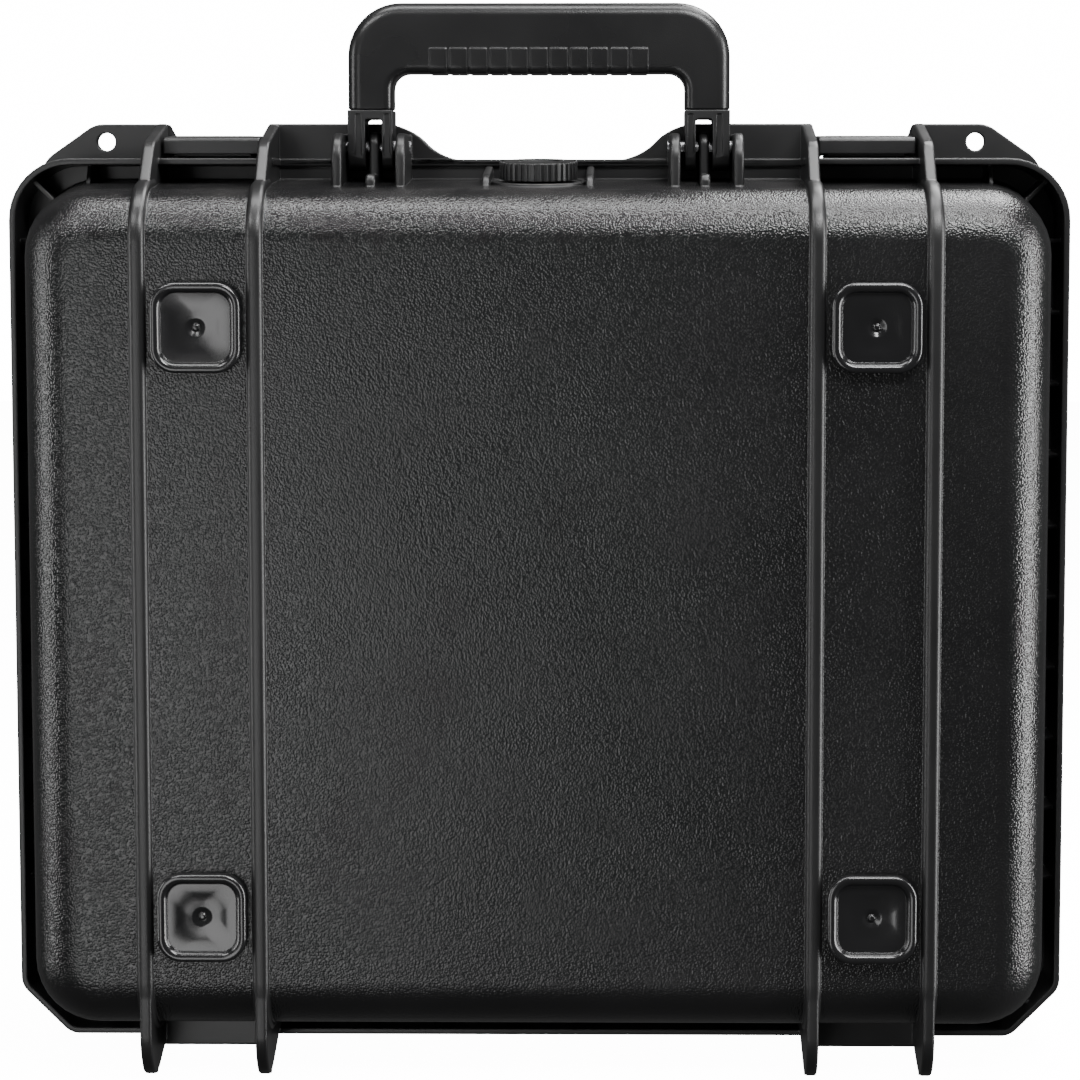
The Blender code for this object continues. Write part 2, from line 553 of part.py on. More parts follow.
def handle(frame_finish, grip_finish):
    """Forked frame on the two pins, and the soft grip moulded over its bow."""
    out, axis_z = HANDLE_AXIS
    near, far = out - HANDLE_THICK / 2, out + HANDLE_THICK / 2
    frame = prism_y("handle_frame", bow(CORE_INSET, GRIP_END - 0.003), out - CORE_HALF_THICK,
                    out + CORE_HALF_THICK, BASE, frame_finish)
    tine = [(near, GRIP_END - GAP), (near, axis_z + 0.002)]
    tine += arc((out, axis_z), (FORK_RADIUS, FORK_RADIUS), 190, 350, 10)
    tine += [(far, axis_z + 0.002), (far, GRIP_END - GAP)]
    forks, cuts = [], []
    for sign in (-1, 1):
        span = sorted((sign * HANDLE_HALF, sign * HANDLE_INNER))
        forks.append(prism_x("fork", tine, span[0], span[1], BASE))
        slot_x = sign * MOUNT_X[1]
        cuts.append(box("slot", (slot_x - SLOT_HALF, slot_x + SLOT_HALF), (near - 0.001, far + 0.001),
                        (axis_z - 0.010, SLOT_TOP), BASE))
        cuts.append(rod_x("pin_hole", (span[0] - 0.001, span[1] + 0.001), out, axis_z,
                          HANDLE_PIN_RADIUS + GAP, BASE))
    boolean(frame, forks, "UNION")
    boolean(frame, cuts, "DIFFERENCE")
    smooth(frame)

    grip = prism_y("handle_grip", bow(0.0, GRIP_END), near, far, BASE, grip_finish)
    rounding = grip.modifiers.new("Rounding", "BEVEL")
    rounding.width = GRIP_ROUNDING
    rounding.segments = 2
    rounding.limit_method = "ANGLE"
    rounding.angle_limit = math.radians(60)
    tunnel = prism_y("tunnel", bow(CORE_INSET - GAP, GRIP_END - 0.010), out - CORE_HALF_THICK - GAP,
                     out + CORE_HALF_THICK + GAP, BASE)
    boolean(grip, [tunnel], "DIFFERENCE")
    smooth(grip)


def valve(finish, rubber):
    """Threaded bush through the wall, its nut inside, and the knurled knob on its sealing ring."""
    bore = STEM_RADIUS + GAP
    flange_high = BOSS_HIGH + GAP
    flange = BUSH_RADIUS + BUSH_FLANGE[0]
    flange_top = flange_high + BUSH_FLANGE[1]
    smooth(turned("valve_bush", ((bore, BUSH_LOW), (BUSH_RADIUS, BUSH_LOW), (BUSH_RADIUS, flange_high),
                                 (flange, flange_high), (flange, flange_top), (bore, flange_top),
                                 (bore, BUSH_LOW)), 24, finish))
    nut_bore, nut_top = BUSH_RADIUS + GAP, -WALL - GAP
    nut_low = nut_top - NUT_HIGH
    nut_section = ((nut_bore, nut_low), (NUT_RADIUS, nut_low), (NUT_RADIUS, nut_top), (nut_bore, nut_top),
                   (nut_bore, nut_low))
    turned("valve_nut", nut_section, 24, finish)
    ring_height = BOSS_HIGH + GAP + RING_RADIUS
    ring = arc((RING_MIDDLE, ring_height), (RING_RADIUS, RING_RADIUS), 0, 360, 8)[:-1]
    smooth(turned("valve_o_ring", ring + ring[:1], 24, rubber), 80)
    low = BOSS_HIGH + KNOB_LIFT
    high, recess, inside = low + KNOB_HEIGHT, low + KNOB_RECESS, KNOB_RADIUS - KNOB_WALL
    profile = ((STEM_RADIUS, STEM_LOW), (STEM_RADIUS, recess), (inside, recess), (inside, low),
               (KNOB_RADIUS, low), (KNOB_RADIUS, high - 0.0008), (KNOB_RADIUS - KNOB_EDGE, high),
               (KNOB_FLAT, high))
    smooth(turned("valve_knob", profile, 2 * KNOB_TEETH, finish, teeth=KNOB_TEETH), 25)


def foam(name, side, open_out, finish):
    """A block that fills this half up to its open face."""
    rings = bowl_rings(side, WALL + FOAM_GAP, open_out, steps=3)
    return loft(name, rings, finish)


def foams(finish):
    base_foam = foam("base_foam", BASE, BASE_FOAM_TOP, finish)
    cuts = []
    for x, z, half_x, half_z, depth in POCKETS:
        points = outline(half_x, z - half_z, z + half_z, 0.012, 0.012, centre_x=x, steps=4)
        cuts.append(prism_y("pocket", points, -0.010, BASE_FOAM_TOP + depth, BASE))
    top = FACE_HIGH + 0.010
    cuts.append(box("valve_relief", (-0.013, 0.013), (VALVE_OUT - 0.014, VALVE_OUT + 0.014),
                    (top - 0.026, top), BASE))
    boolean(base_foam, cuts, "DIFFERENCE")
    foam("lid_foam", LID, LID_FOAM_TOP, finish)


def main():
    for old in list(bpy.data.objects):
        bpy.data.objects.remove(old, do_unlink=True)
    plastic = material("case_plastic", (0.022, 0.022, 0.023), 0.5)
    nylon = material("handle_nylon", (0.018, 0.018, 0.019), 0.42)
    grip = material("handle_rubber", (0.015, 0.015, 0.016), 0.6)
    gloss = material("foot_rubber", (0.010, 0.010, 0.011), 0.25)
    seal = material("seal_rubber", (0.030, 0.030, 0.032), 0.7)
    steel = material("pin_steel", (0.58, 0.58, 0.60), 0.3, 1.0)
    foam_finish = material("foam", (0.060, 0.060, 0.064), 0.95)
    base_half(plastic, steel, gloss)
    lid_half(plastic, steel, seal)
    for label, x in (("left", BAY_X[0]), ("right", BAY_X[1])):
        latch(label, x, nylon, steel)
    handle(nylon, grip)
    valve(nylon, seal)
    foams(foam_finish)


main()
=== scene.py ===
import math

import bmesh
import bpy
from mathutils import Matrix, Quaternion, Vector


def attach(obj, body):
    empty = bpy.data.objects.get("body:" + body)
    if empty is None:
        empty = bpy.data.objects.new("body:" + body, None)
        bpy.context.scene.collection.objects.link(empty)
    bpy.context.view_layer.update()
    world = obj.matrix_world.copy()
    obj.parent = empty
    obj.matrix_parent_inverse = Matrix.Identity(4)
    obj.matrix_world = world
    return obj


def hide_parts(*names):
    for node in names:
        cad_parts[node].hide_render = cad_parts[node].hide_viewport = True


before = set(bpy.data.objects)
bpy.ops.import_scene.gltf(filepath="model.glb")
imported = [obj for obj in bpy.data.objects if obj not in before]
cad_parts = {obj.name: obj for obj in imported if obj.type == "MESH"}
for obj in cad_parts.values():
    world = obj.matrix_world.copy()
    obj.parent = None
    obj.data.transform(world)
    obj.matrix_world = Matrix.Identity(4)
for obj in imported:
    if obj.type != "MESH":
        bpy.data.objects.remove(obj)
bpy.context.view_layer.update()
print("frame loaded:", len(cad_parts), "nodes")

# all sizes are in metres; "out" is the distance from the plane where the two halves meet
caseSizes = {
    "partY": 0.001875,
    "baseDepth": 0.070,
    "lidDepth": 0.068,
    "partGap": 0.00015,
    "faceHalf": 0.1937,
    "faceLow": 0.0204,
    "faceHigh": 0.3400,
    "faceFillet": 0.019,
    "bodyCorner": 0.025,
    "draft": math.radians(5.0),
    "wall": 0.003,
    "filletSegments": 8,
}


def depthOf(side):
    return caseSizes["baseDepth"] if side < 0 else caseSizes["lidDepth"]


def yAt(side, out):
    return caseSizes["partY"] + side * out


def outOf(side, y):
    return (y - caseSizes["partY"]) * side


def selectOnly(*pieces):
    bpy.ops.object.select_all(action="DESELECT")
    for piece in pieces:
        piece.select_set(True)
    bpy.context.view_layer.objects.active = pieces[0]


def editMode():
    bpy.ops.object.mode_set(mode="EDIT")


def objectMode():
    bpy.ops.object.mode_set(mode="OBJECT")


def applyPlace():
    bpy.ops.object.transform_apply(location=True, rotation=True, scale=True)


def middle(item):
    if isinstance(item, bmesh.types.BMVert):
        return item.co
    corners = [vert.co for vert in item.verts]
    return sum(corners, Vector()) / len(corners)


def pick(mode, test):
    # selects in edit mode whatever passes the test
    bpy.ops.mesh.select_mode(type=mode)
    bpy.ops.mesh.select_all(action="DESELECT")
    mesh = bpy.context.edit_object.data
    cage = bmesh.from_edit_mesh(mesh)
    found = [item for item in {"VERT": cage.verts, "EDGE": cage.edges, "FACE": cage.faces}[mode] if test(item)]
    for item in found:
        item.select_set(True)
    bmesh.update_edit_mesh(mesh)
    return len(found)


def roundEdges(test, width, segments=2, profile=0.5):
    if pick("EDGE", test):
        bpy.ops.mesh.bevel(offset=width, segments=segments, profile=profile, affect="EDGES")


def spanOf(edge, axis):
    first, second = (vert.co["xyz".index(axis)] for vert in edge.verts)
    return abs(first - second)


def fromLine(edge, y, z):
    # distance of an edge from a line along x
    return math.hypot(middle(edge).y - y, middle(edge).z - z)


def sharpEdge(edge, degrees=40):
    return len(edge.link_faces) == 2 and edge.calc_face_angle(0) > math.radians(degrees)


def tidyNormals():
    bpy.ops.mesh.select_all(action="SELECT")
    bpy.ops.mesh.normals_make_consistent(inside=False)


def addBlock(name, xRange, yRange, zRange):
    bpy.ops.object.select_all(action="DESELECT")
    ranges = [sorted(r) for r in (xRange, yRange, zRange)]
    bpy.ops.mesh.primitive_cube_add(size=1, location=[sum(r) / 2 for r in ranges],
                                    scale=[r[1] - r[0] for r in ranges])
    piece = bpy.context.active_object
    piece.name = name
    applyPlace()
    return piece


def addRod(name, centre, radius, length, axis="X", sides=24):
    bpy.ops.object.select_all(action="DESELECT")
    turn = {"X": (0, math.pi / 2, 0), "Y": (math.pi / 2, 0, 0), "Z": (0, 0, 0)}[axis]
    bpy.ops.mesh.primitive_cylinder_add(vertices=sides, radius=radius, depth=length,
                                        location=centre, rotation=turn)
    piece = bpy.context.active_object
    piece.name = name
    applyPlace()
    return piece


def addOutline(name, corners, push, rounds=()):
    # one point pushed from corner to corner, filled, its corners rounded, then pushed to a thickness
    bpy.ops.object.select_all(action="DESELECT")
    bpy.ops.mesh.primitive_plane_add(size=0.001, location=corners[0])
    piece = bpy.context.active_object
    piece.name = name
    applyPlace()
    editMode()
    bpy.ops.mesh.select_mode(type="VERT")
    bpy.ops.mesh.select_all(action="SELECT")
    bpy.ops.mesh.merge(type="CENTER")
    ring = [Vector(corner) for corner in corners]
    for start, end in zip(ring, ring[1:] + ring[:1]):
        bpy.ops.mesh.extrude_vertices_move(TRANSFORM_OT_translate={"value": end - start})
    bpy.ops.mesh.select_all(action="SELECT")
    bpy.ops.mesh.remove_doubles(threshold=0.00001)
    bpy.ops.mesh.edge_face_add()
    for index, reach, segments in rounds:
        pick("VERT", lambda vert: (vert.co - ring[index]).length < 0.00002)
        bpy.ops.mesh.bevel(offset=reach, segments=segments, affect="VERTICES")
    bpy.ops.mesh.select_mode(type="FACE")
    bpy.ops.mesh.select_all(action="SELECT")
    bpy.ops.mesh.extrude_region_move(TRANSFORM_OT_translate={"value": push})
    tidyNormals()
    objectMode()
    return piece


def addProfile(name, side, x, half, corners, rounds=()):
    # a plate across x, its corners given as distance out and height
    return addOutline(name, [(x - half, yAt(side, out), z) for out, z in corners], (2 * half, 0, 0), rounds)


def copyAt(piece, offset):
    selectOnly(piece)
    bpy.ops.object.duplicate()
    copied = bpy.context.active_object
    copied.location = offset
    bpy.ops.object.transform_apply(location=True, rotation=False, scale=False)
    return copied


def copiesAt(first, offsets):
    made = [copyAt(first, offset) for offset in offsets]
    bpy.data.objects.remove(first)
    return made


def mirrorX(piece):
    selectOnly(piece)
    bpy.ops.object.duplicate()
    copied = bpy.context.active_object
    copied.scale = (-1, 1, 1)
    bpy.ops.object.transform_apply(location=False, rotation=False, scale=True)
    editMode()
    tidyNormals()
    objectMode()
    return copied


def cutBy(piece, cutter, keepCutter=False, operation="DIFFERENCE"):
    selectOnly(piece)
    cut = piece.modifiers.new("cut", "BOOLEAN")
    cut.operation = operation
    cut.solver = "EXACT"
    cut.object = cutter
    bpy.ops.object.modifier_apply(modifier="cut")
    if not keepCutter:
        bpy.data.objects.remove(cutter)
    return piece


def softenAll(piece, width, segments=2, degrees=40, keep=lambda edge: True):
    selectOnly(piece)
    editMode()
    roundEdges(lambda edge: sharpEdge(edge, degrees) and keep(edge), width, segments)
    objectMode()
    return piece


def joinAll(name, pieces):
    selectOnly(*pieces)
    bpy.ops.object.join()
    joined = bpy.context.active_object
    joined.name = name
    joined.data.name = name
    return joined


def paint(piece, material):
    piece.data.materials.clear()
    piece.data.materials.append(material)
    return piece


def paintAll(pieces, material):
    return [paint(piece, material) for piece in pieces]


def finishPiece(piece, body, nodes, material=None, angle=35):
    if material:
        paint(piece, material)
    selectOnly(piece)
    bpy.ops.object.shade_smooth_by_angle(angle=math.radians(angle))
    weighted = piece.modifiers.new("weighted", "WEIGHTED_NORMAL")
    weighted.keep_sharp = True
    bpy.ops.object.modifier_apply(modifier=weighted.name)
    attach(piece, body)
    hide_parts(*nodes)
    return piece


def addGroup(name, inputs, outputs):
    group = bpy.data.node_groups.new(name, "ShaderNodeTree")
    for label, kind, value in inputs:
        socket = group.interface.new_socket(label, in_out="INPUT", socket_type=kind)
        socket.default_value = value
    for label, kind in outputs:
        group.interface.new_socket(label, in_out="OUTPUT", socket_type=kind)
    return group, group.nodes.new("NodeGroupInput"), group.nodes.new("NodeGroupOutput")


def addMath(tree, operation, first, second=None, clamp=False):
    node = tree.nodes.new("ShaderNodeMath")
    node.operation = operation
    node.use_clamp = clamp
    for socket, value in zip(node.inputs, (first, second)):
        if isinstance(value, bpy.types.NodeSocket):
            tree.links.new(value, socket)
        elif value is not None:
            socket.default_value = value
    return node.outputs[0]


def addRange(tree, value, low, high, toLow=0.0, toHigh=1.0):
    node = tree.nodes.new("ShaderNodeMapRange")
    tree.links.new(value, node.inputs["Value"])
    for label, number in (("From Min", low), ("From Max", high), ("To Min", toLow), ("To Max", toHigh)):
        if isinstance(number, bpy.types.NodeSocket):
            tree.links.new(number, node.inputs[label])
        else:
            node.inputs[label].default_value = number
    return node.outputs["Result"]


def addNoise(tree, scale, detail=3.0, roughness=0.5, offset=(0, 0, 0), stretch=(1, 1, 1)):
    place = tree.nodes.new("ShaderNodeTexCoord")
    mapping = tree.nodes.new("ShaderNodeMapping")
    mapping.inputs["Location"].default_value = offset
    mapping.inputs["Scale"].default_value = stretch
    noise = tree.nodes.new("ShaderNodeTexNoise")
    tree.links.new(place.outputs["Object"], mapping.inputs["Vector"])
    tree.links.new(mapping.outputs["Vector"], noise.inputs["Vector"])
    if isinstance(scale, bpy.types.NodeSocket):
        tree.links.new(scale, noise.inputs["Scale"])
    else:
        noise.inputs["Scale"].default_value = scale
    noise.inputs["Detail"].default_value = detail
    noise.inputs["Roughness"].default_value = roughness
    return noise.outputs["Fac"]


def addMix(tree, share, first, second):
    node = tree.nodes.new("ShaderNodeMix")
    node.data_type = "RGBA"
    tree.links.new(share, node.inputs["Factor"])
    colourInputs = [socket for socket in node.inputs if socket.type == "RGBA"]
    for socket, value in zip(colourInputs, (first, second)):
        if isinstance(value, bpy.types.NodeSocket):
            tree.links.new(value, socket)
        else:
            socket.default_value = (*value, 1.0)
    return [socket for socket in node.outputs if socket.type == "RGBA"][0]


def makeGroups():
    groups = {}

    group, given, put = addGroup(
        "pebbleGrain", [("Scale", "NodeSocketFloat", 800.0), ("Softness", "NodeSocketFloat", 0.5)],
        [("Height", "NodeSocketFloat")])
    place = group.nodes.new("ShaderNodeTexCoord")
    cells = group.nodes.new("ShaderNodeTexVoronoi")
    cells.feature = "SMOOTH_F1"
    group.links.new(place.outputs["Object"], cells.inputs["Vector"])
    group.links.new(given.outputs["Scale"], cells.inputs["Scale"])
    group.links.new(given.outputs["Softness"], cells.inputs["Smoothness"])
    domes = addRange(group, cells.outputs["Distance"], 0.1, 0.75, 1.0, 0.0)
    fine = addNoise(group, addMath(group, "MULTIPLY", given.outputs["Scale"], 1.7), 2.0)
    height = addMath(group, "ADD", domes, addMath(group, "MULTIPLY", fine, 0.35))
    group.links.new(height, put.inputs["Height"])
    groups["pebbleGrain"] = group

    group, given, put = addGroup("softEdges", [("Radius", "NodeSocketFloat", 0.0007)],
                                 [("Normal", "NodeSocketVector"), ("Edge", "NodeSocketFloat")])
    bevel = group.nodes.new("ShaderNodeBevel")
    bevel.samples = 4
    group.links.new(given.outputs["Radius"], bevel.inputs["Radius"])
    surface = group.nodes.new("ShaderNodeNewGeometry")
    dot = group.nodes.new("ShaderNodeVectorMath")
    dot.operation = "DOT_PRODUCT"
    group.links.new(bevel.outputs["Normal"], dot.inputs[0])
    group.links.new(surface.outputs["Normal"], dot.inputs[1])
    edge = addRange(group, dot.outputs["Value"], 0.995, 0.86)
    group.links.new(bevel.outputs["Normal"], put.inputs["Normal"])
    group.links.new(edge, put.inputs["Edge"])
    groups["softEdges"] = group

    group, given, put = addGroup(
        "toneDrift", [("Scale", "NodeSocketFloat", 12.0), ("Dark", "NodeSocketColor", (0, 0, 0, 1)),
                      ("Light", "NodeSocketColor", (1, 1, 1, 1))],
        [("Color", "NodeSocketColor"), ("Mask", "NodeSocketFloat")])
    broad = addNoise(group, given.outputs["Scale"], 4.0, 0.6)
    mask = addRange(group, broad, 0.32, 0.68)
    group.links.new(addMix(group, mask, given.outputs["Dark"], given.outputs["Light"]), put.inputs["Color"])
    group.links.new(mask, put.inputs["Mask"])
    groups["toneDrift"] = group

    group, given, put = addGroup(
        "fineScuffs", [("Scale", "NodeSocketFloat", 60.0), ("Spread", "NodeSocketFloat", 0.25)],
        [("Mask", "NodeSocketFloat")])
    along = addNoise(group, given.outputs["Scale"], 6.0, 0.7, (0.3, 0.1, 0.2), (1.0, 1.0, 9.0))
    across = addNoise(group, given.outputs["Scale"], 6.0, 0.7, (1.3, 0.7, 0.4), (9.0, 1.0, 1.0))
    lines = addMath(group, "MAXIMUM", addRange(group, along, 0.66, 0.76),
                    addRange(group, across, 0.67, 0.77))
    patches = addRange(group, addNoise(group, 9.0, 2.0), 0.5, 0.7)
    worn = addMath(group, "MULTIPLY", lines, patches)
    mask = addMath(group, "MULTIPLY", worn, given.outputs["Spread"], True)
    group.links.new(mask, put.inputs["Mask"])
    groups["fineScuffs"] = group

    group, given, put = addGroup("settledDust", [("Amount", "NodeSocketFloat", 0.2)], [("Mask", "NodeSocketFloat")])
    surface = group.nodes.new("ShaderNodeNewGeometry")
    split = group.nodes.new("ShaderNodeSeparateXYZ")
    group.links.new(surface.outputs["Normal"], split.inputs["Vector"])
    upward = addRange(group, split.outputs["Z"], 0.55, 1.0)
    blotches = addRange(group, addNoise(group, 45.0, 6.0, 0.65), 0.45, 0.75)
    settled = addMath(group, "MULTIPLY", upward, blotches)
    mask = addMath(group, "MULTIPLY", settled, given.outputs["Amount"], True)
    group.links.new(mask, put.inputs["Mask"])
    groups["settledDust"] = group
    return groups


groups = makeGroups()


def placeGroup(tree, name, **values):
    node = tree.nodes.new("ShaderNodeGroup")
    node.node_tree = groups[name]
    for label, value in values.items():
        node.inputs[label].default_value = value
    return node


def newMaterial(name):
    material = bpy.data.materials.new(name)
    material.use_nodes = True
    return material, material.node_tree, material.node_tree.nodes["Principled BSDF"]


def addBump(tree, height, shader, strength, depth):
    bump = tree.nodes.new("ShaderNodeBump")
    bump.inputs["Strength"].default_value = strength
    bump.inputs["Distance"].default_value = depth
    tree.links.new(height, bump.inputs["Height"])
    tree.links.new(bump.outputs["Normal"], shader.inputs["Normal"])
    return bump


def addPlastic(name, look):
    # moulded plastic or rubber: drifting tone, grain, rubbed edges, fine scuffs and a little dust
    material, tree, shader = newMaterial(name)
    drift = placeGroup(tree, "toneDrift", Scale=look["driftScale"],
                       Dark=(*look["dark"], 1), Light=(*look["light"], 1))
    edges = placeGroup(tree, "softEdges", Radius=look["edgeRadius"])
    scuffs = placeGroup(tree, "fineScuffs", Scale=look["scuffScale"], Spread=look["scuffSpread"])
    dust = placeGroup(tree, "settledDust", Amount=look["dust"])
    colour = addMix(tree, addMath(tree, "MULTIPLY", edges.outputs["Edge"], look["edgeFade"]),
                    drift.outputs["Color"], look["edgeColour"])
    colour = addMix(tree, scuffs.outputs["Mask"], colour, look["scuffColour"])
    colour = addMix(tree, dust.outputs["Mask"], colour, look["dustColour"])
    tree.links.new(colour, shader.inputs["Base Color"])
    rough = addRange(tree, drift.outputs["Mask"], 0.0, 1.0, look["roughLow"], look["roughHigh"])
    rough = addMath(tree, "ADD", rough, addMath(tree, "MULTIPLY", scuffs.outputs["Mask"], 0.25), True)
    tree.links.new(rough, shader.inputs["Roughness"])
    grain = placeGroup(tree, "pebbleGrain", Scale=look["grainScale"], Softness=look["grainSoftness"])
    bump = addBump(tree, grain.outputs["Height"], shader, look["grainStrength"], look["grainDepth"])
    tree.links.new(edges.outputs["Normal"], bump.inputs["Normal"])
    shader.inputs["Specular IOR Level"].default_value = look["specular"]
    if look["coat"]:
        shader.inputs["Coat Weight"].default_value = look["coat"]
        shader.inputs["Coat Roughness"].default_value = look["coatRough"]
    return material


plasticLook = {
    "dark": (0.0055, 0.0055, 0.0058), "light": (0.0085, 0.0085, 0.0088), "driftScale": 14.0,
    "roughLow": 0.19, "roughHigh": 0.24, "specular": 0.5, "coat": 0.0, "coatRough": 0.2,
    "edgeRadius": 0.0006, "edgeFade": 0.35, "edgeColour": (0.035, 0.035, 0.036),
    "scuffScale": 55.0, "scuffSpread": 0.30, "scuffColour": (0.045, 0.045, 0.046),
    "dust": 0.12, "dustColour": (0.16, 0.155, 0.15),
    "grainScale": 1350.0, "grainSoftness": 0.5, "grainStrength": 0.55, "grainDepth": 0.00022,
}
casePebbled = addPlastic("casePebbled", plasticLook)
caseSmooth = addPlastic("caseSmooth", {
    **plasticLook, "roughLow": 0.34, "roughHigh": 0.42, "edgeRadius": 0.0008,
    "grainScale": 2600.0, "grainStrength": 0.16, "grainDepth": 0.00008,
})
fittingPlastic = addPlastic("fittingPlastic", {
    **plasticLook, "dark": (0.0075, 0.0075, 0.008), "roughLow": 0.33, "roughHigh": 0.42,
    "grainScale": 1900.0, "grainStrength": 0.22, "grainDepth": 0.0001,
})
handleRubber = addPlastic("handleRubber", {
    **plasticLook, "dark": (0.006, 0.006, 0.0063), "light": (0.009, 0.009, 0.0093),
    "roughLow": 0.24, "roughHigh": 0.31, "specular": 0.40,
    "grainScale": 2300.0, "grainStrength": 0.2, "grainDepth": 0.0001,
})
footRubber = addPlastic("footRubber", {
    **plasticLook, "dark": (0.006, 0.006, 0.0065), "light": (0.009, 0.009, 0.0095),
    "roughLow": 0.16, "roughHigh": 0.24, "coat": 0.35, "coatRough": 0.12, "scuffSpread": 0.18,
    "grainScale": 3200.0, "grainStrength": 0.06, "grainDepth": 0.00004,
})
sealRubber = addPlastic("sealRubber", {
    **plasticLook, "dark": (0.018, 0.018, 0.019), "light": (0.026, 0.026, 0.027),
    "roughLow": 0.62, "roughHigh": 0.74, "specular": 0.35, "dust": 0.3,
    "grainScale": 2600.0, "grainStrength": 0.2,
})


def addSteel():
    material, tree, shader = newMaterial("pinSteel")
    shader.inputs["Metallic"].default_value = 1.0
    drift = placeGroup(tree, "toneDrift", Scale=160.0,
                       Dark=(0.46, 0.46, 0.48, 1), Light=(0.66, 0.66, 0.67, 1))
    turned = addNoise(tree, 900.0, 2.0, 0.5, (0, 0, 0), (6.0, 1.0, 1.0))
    scuffs = placeGroup(tree, "fineScuffs", Scale=300.0, Spread=0.5)
    tree.links.new(addMix(tree, scuffs.outputs["Mask"], drift.outputs["Color"], (0.3, 0.3, 0.31)),
                   shader.inputs["Base Color"])
    tree.links.new(addRange(tree, turned, 0.3, 0.7, 0.2, 0.34), shader.inputs["Roughness"])
    addBump(tree, turned, shader, 0.2, 0.00004)
    return material


def addFoam():
    material, tree, shader = newMaterial("cutFoam")
    shader.inputs["Specular IOR Level"].default_value = 0.12
    place = tree.nodes.new("ShaderNodeTexCoord")
    cells = tree.nodes.new("ShaderNodeTexVoronoi")
    cells.inputs["Scale"].default_value = 1100.0
    tree.links.new(place.outputs["Object"], cells.inputs["Vector"])
    pores = addRange(tree, cells.outputs["Distance"], 0.15, 0.7, 1.0, 0.0)
    drift = placeGroup(tree, "toneDrift", Scale=22.0,
                       Dark=(0.030, 0.030, 0.032, 1), Light=(0.044, 0.044, 0.047, 1))
    # painted shade: the colour is darkened in each pore's hollow, where the inverted bump sinks it
    colour = addMix(tree, addMath(tree, "MULTIPLY", pores, 0.55), drift.outputs["Color"], (0.012, 0.012, 0.013))
    tree.links.new(colour, shader.inputs["Base Color"])
    tree.links.new(addRange(tree, pores, 0.0, 1.0, 0.88, 0.97), shader.inputs["Roughness"])
    bump = addBump(tree, pores, shader, 0.6, 0.0004)
    bump.invert = True
    return material


pinSteel = addSteel()
cutFoam = addFoam()
print("materials made")


rimSizes = {
    "half": 0.2057, "low": 0.0074, "high": 0.3535, "corner": 0.0240, "chamfer": 0.0195,
    "skirtWall": 0.0025, "skirtOut": 0.031, "flangeOut": 0.0055, "edge": 0.0006, "partEdge": 0.0004,
    "breakHalf": 0.10265, "breakOut": (0.007, 0.045), "breakZ": (0.3472, 0.360),
    "sealOutset": 0.0041, "sealWidth": 0.0030, "sealDepth": 0.0032,
}


def bodyBlock(name, side, inset, outLow):
    # the drafted block of the body, drawn in by inset, with its corners and its face rounded
    size = caseSizes
    depth = depthOf(side)
    front = depth - inset
    half = size["faceHalf"] - inset + math.tan(size["draft"]) * inset
    low, high = size["faceLow"] + inset, size["faceHigh"] - inset
    block = addBlock(name, (-half, half), (yAt(side, outLow), yAt(side, front)), (low, high))
    grown = (front - outLow) * math.tan(size["draft"])
    halfHigh = (high - low) / 2
    editMode()
    pick("FACE", lambda face: abs(outOf(side, middle(face).y) - outLow) < 0.0001)
    bpy.ops.transform.resize(value=(1 + grown / half, 1, 1 + grown / halfHigh),
                             center_override=(0, yAt(side, outLow), (low + high) / 2))
    roundEdges(lambda edge: spanOf(edge, "y") > 0.01, size["bodyCorner"] - inset,
               size["filletSegments"])
    roundEdges(lambda edge: all(abs(outOf(side, vert.co.y) - front) < 0.0001 for vert in edge.verts),
               size["faceFillet"] - inset, size["filletSegments"])
    tidyNormals()
    objectMode()
    return block


def addBowl(side):
    size = caseSizes
    bowl = bodyBlock("bowl", side, 0.0, size["partGap"])
    editMode()
    pick("FACE", lambda face: abs(outOf(side, middle(face).y) - size["partGap"]) < 0.0001)
    bpy.ops.mesh.delete(type="FACE")
    objectMode()
    wall = bowl.modifiers.new("wall", "SOLIDIFY")
    wall.thickness = size["wall"]
    wall.offset = -1
    wall.use_even_offset = True
    bpy.ops.object.modifier_apply(modifier="wall")
    editMode()
    pick("VERT", lambda vert: outOf(side, vert.co.y) < 0.002)
    bpy.ops.transform.resize(value=(1, 0, 1), center_override=(0, yAt(side, size["partGap"]), 0))
    objectMode()
    return paint(bowl, casePebbled)


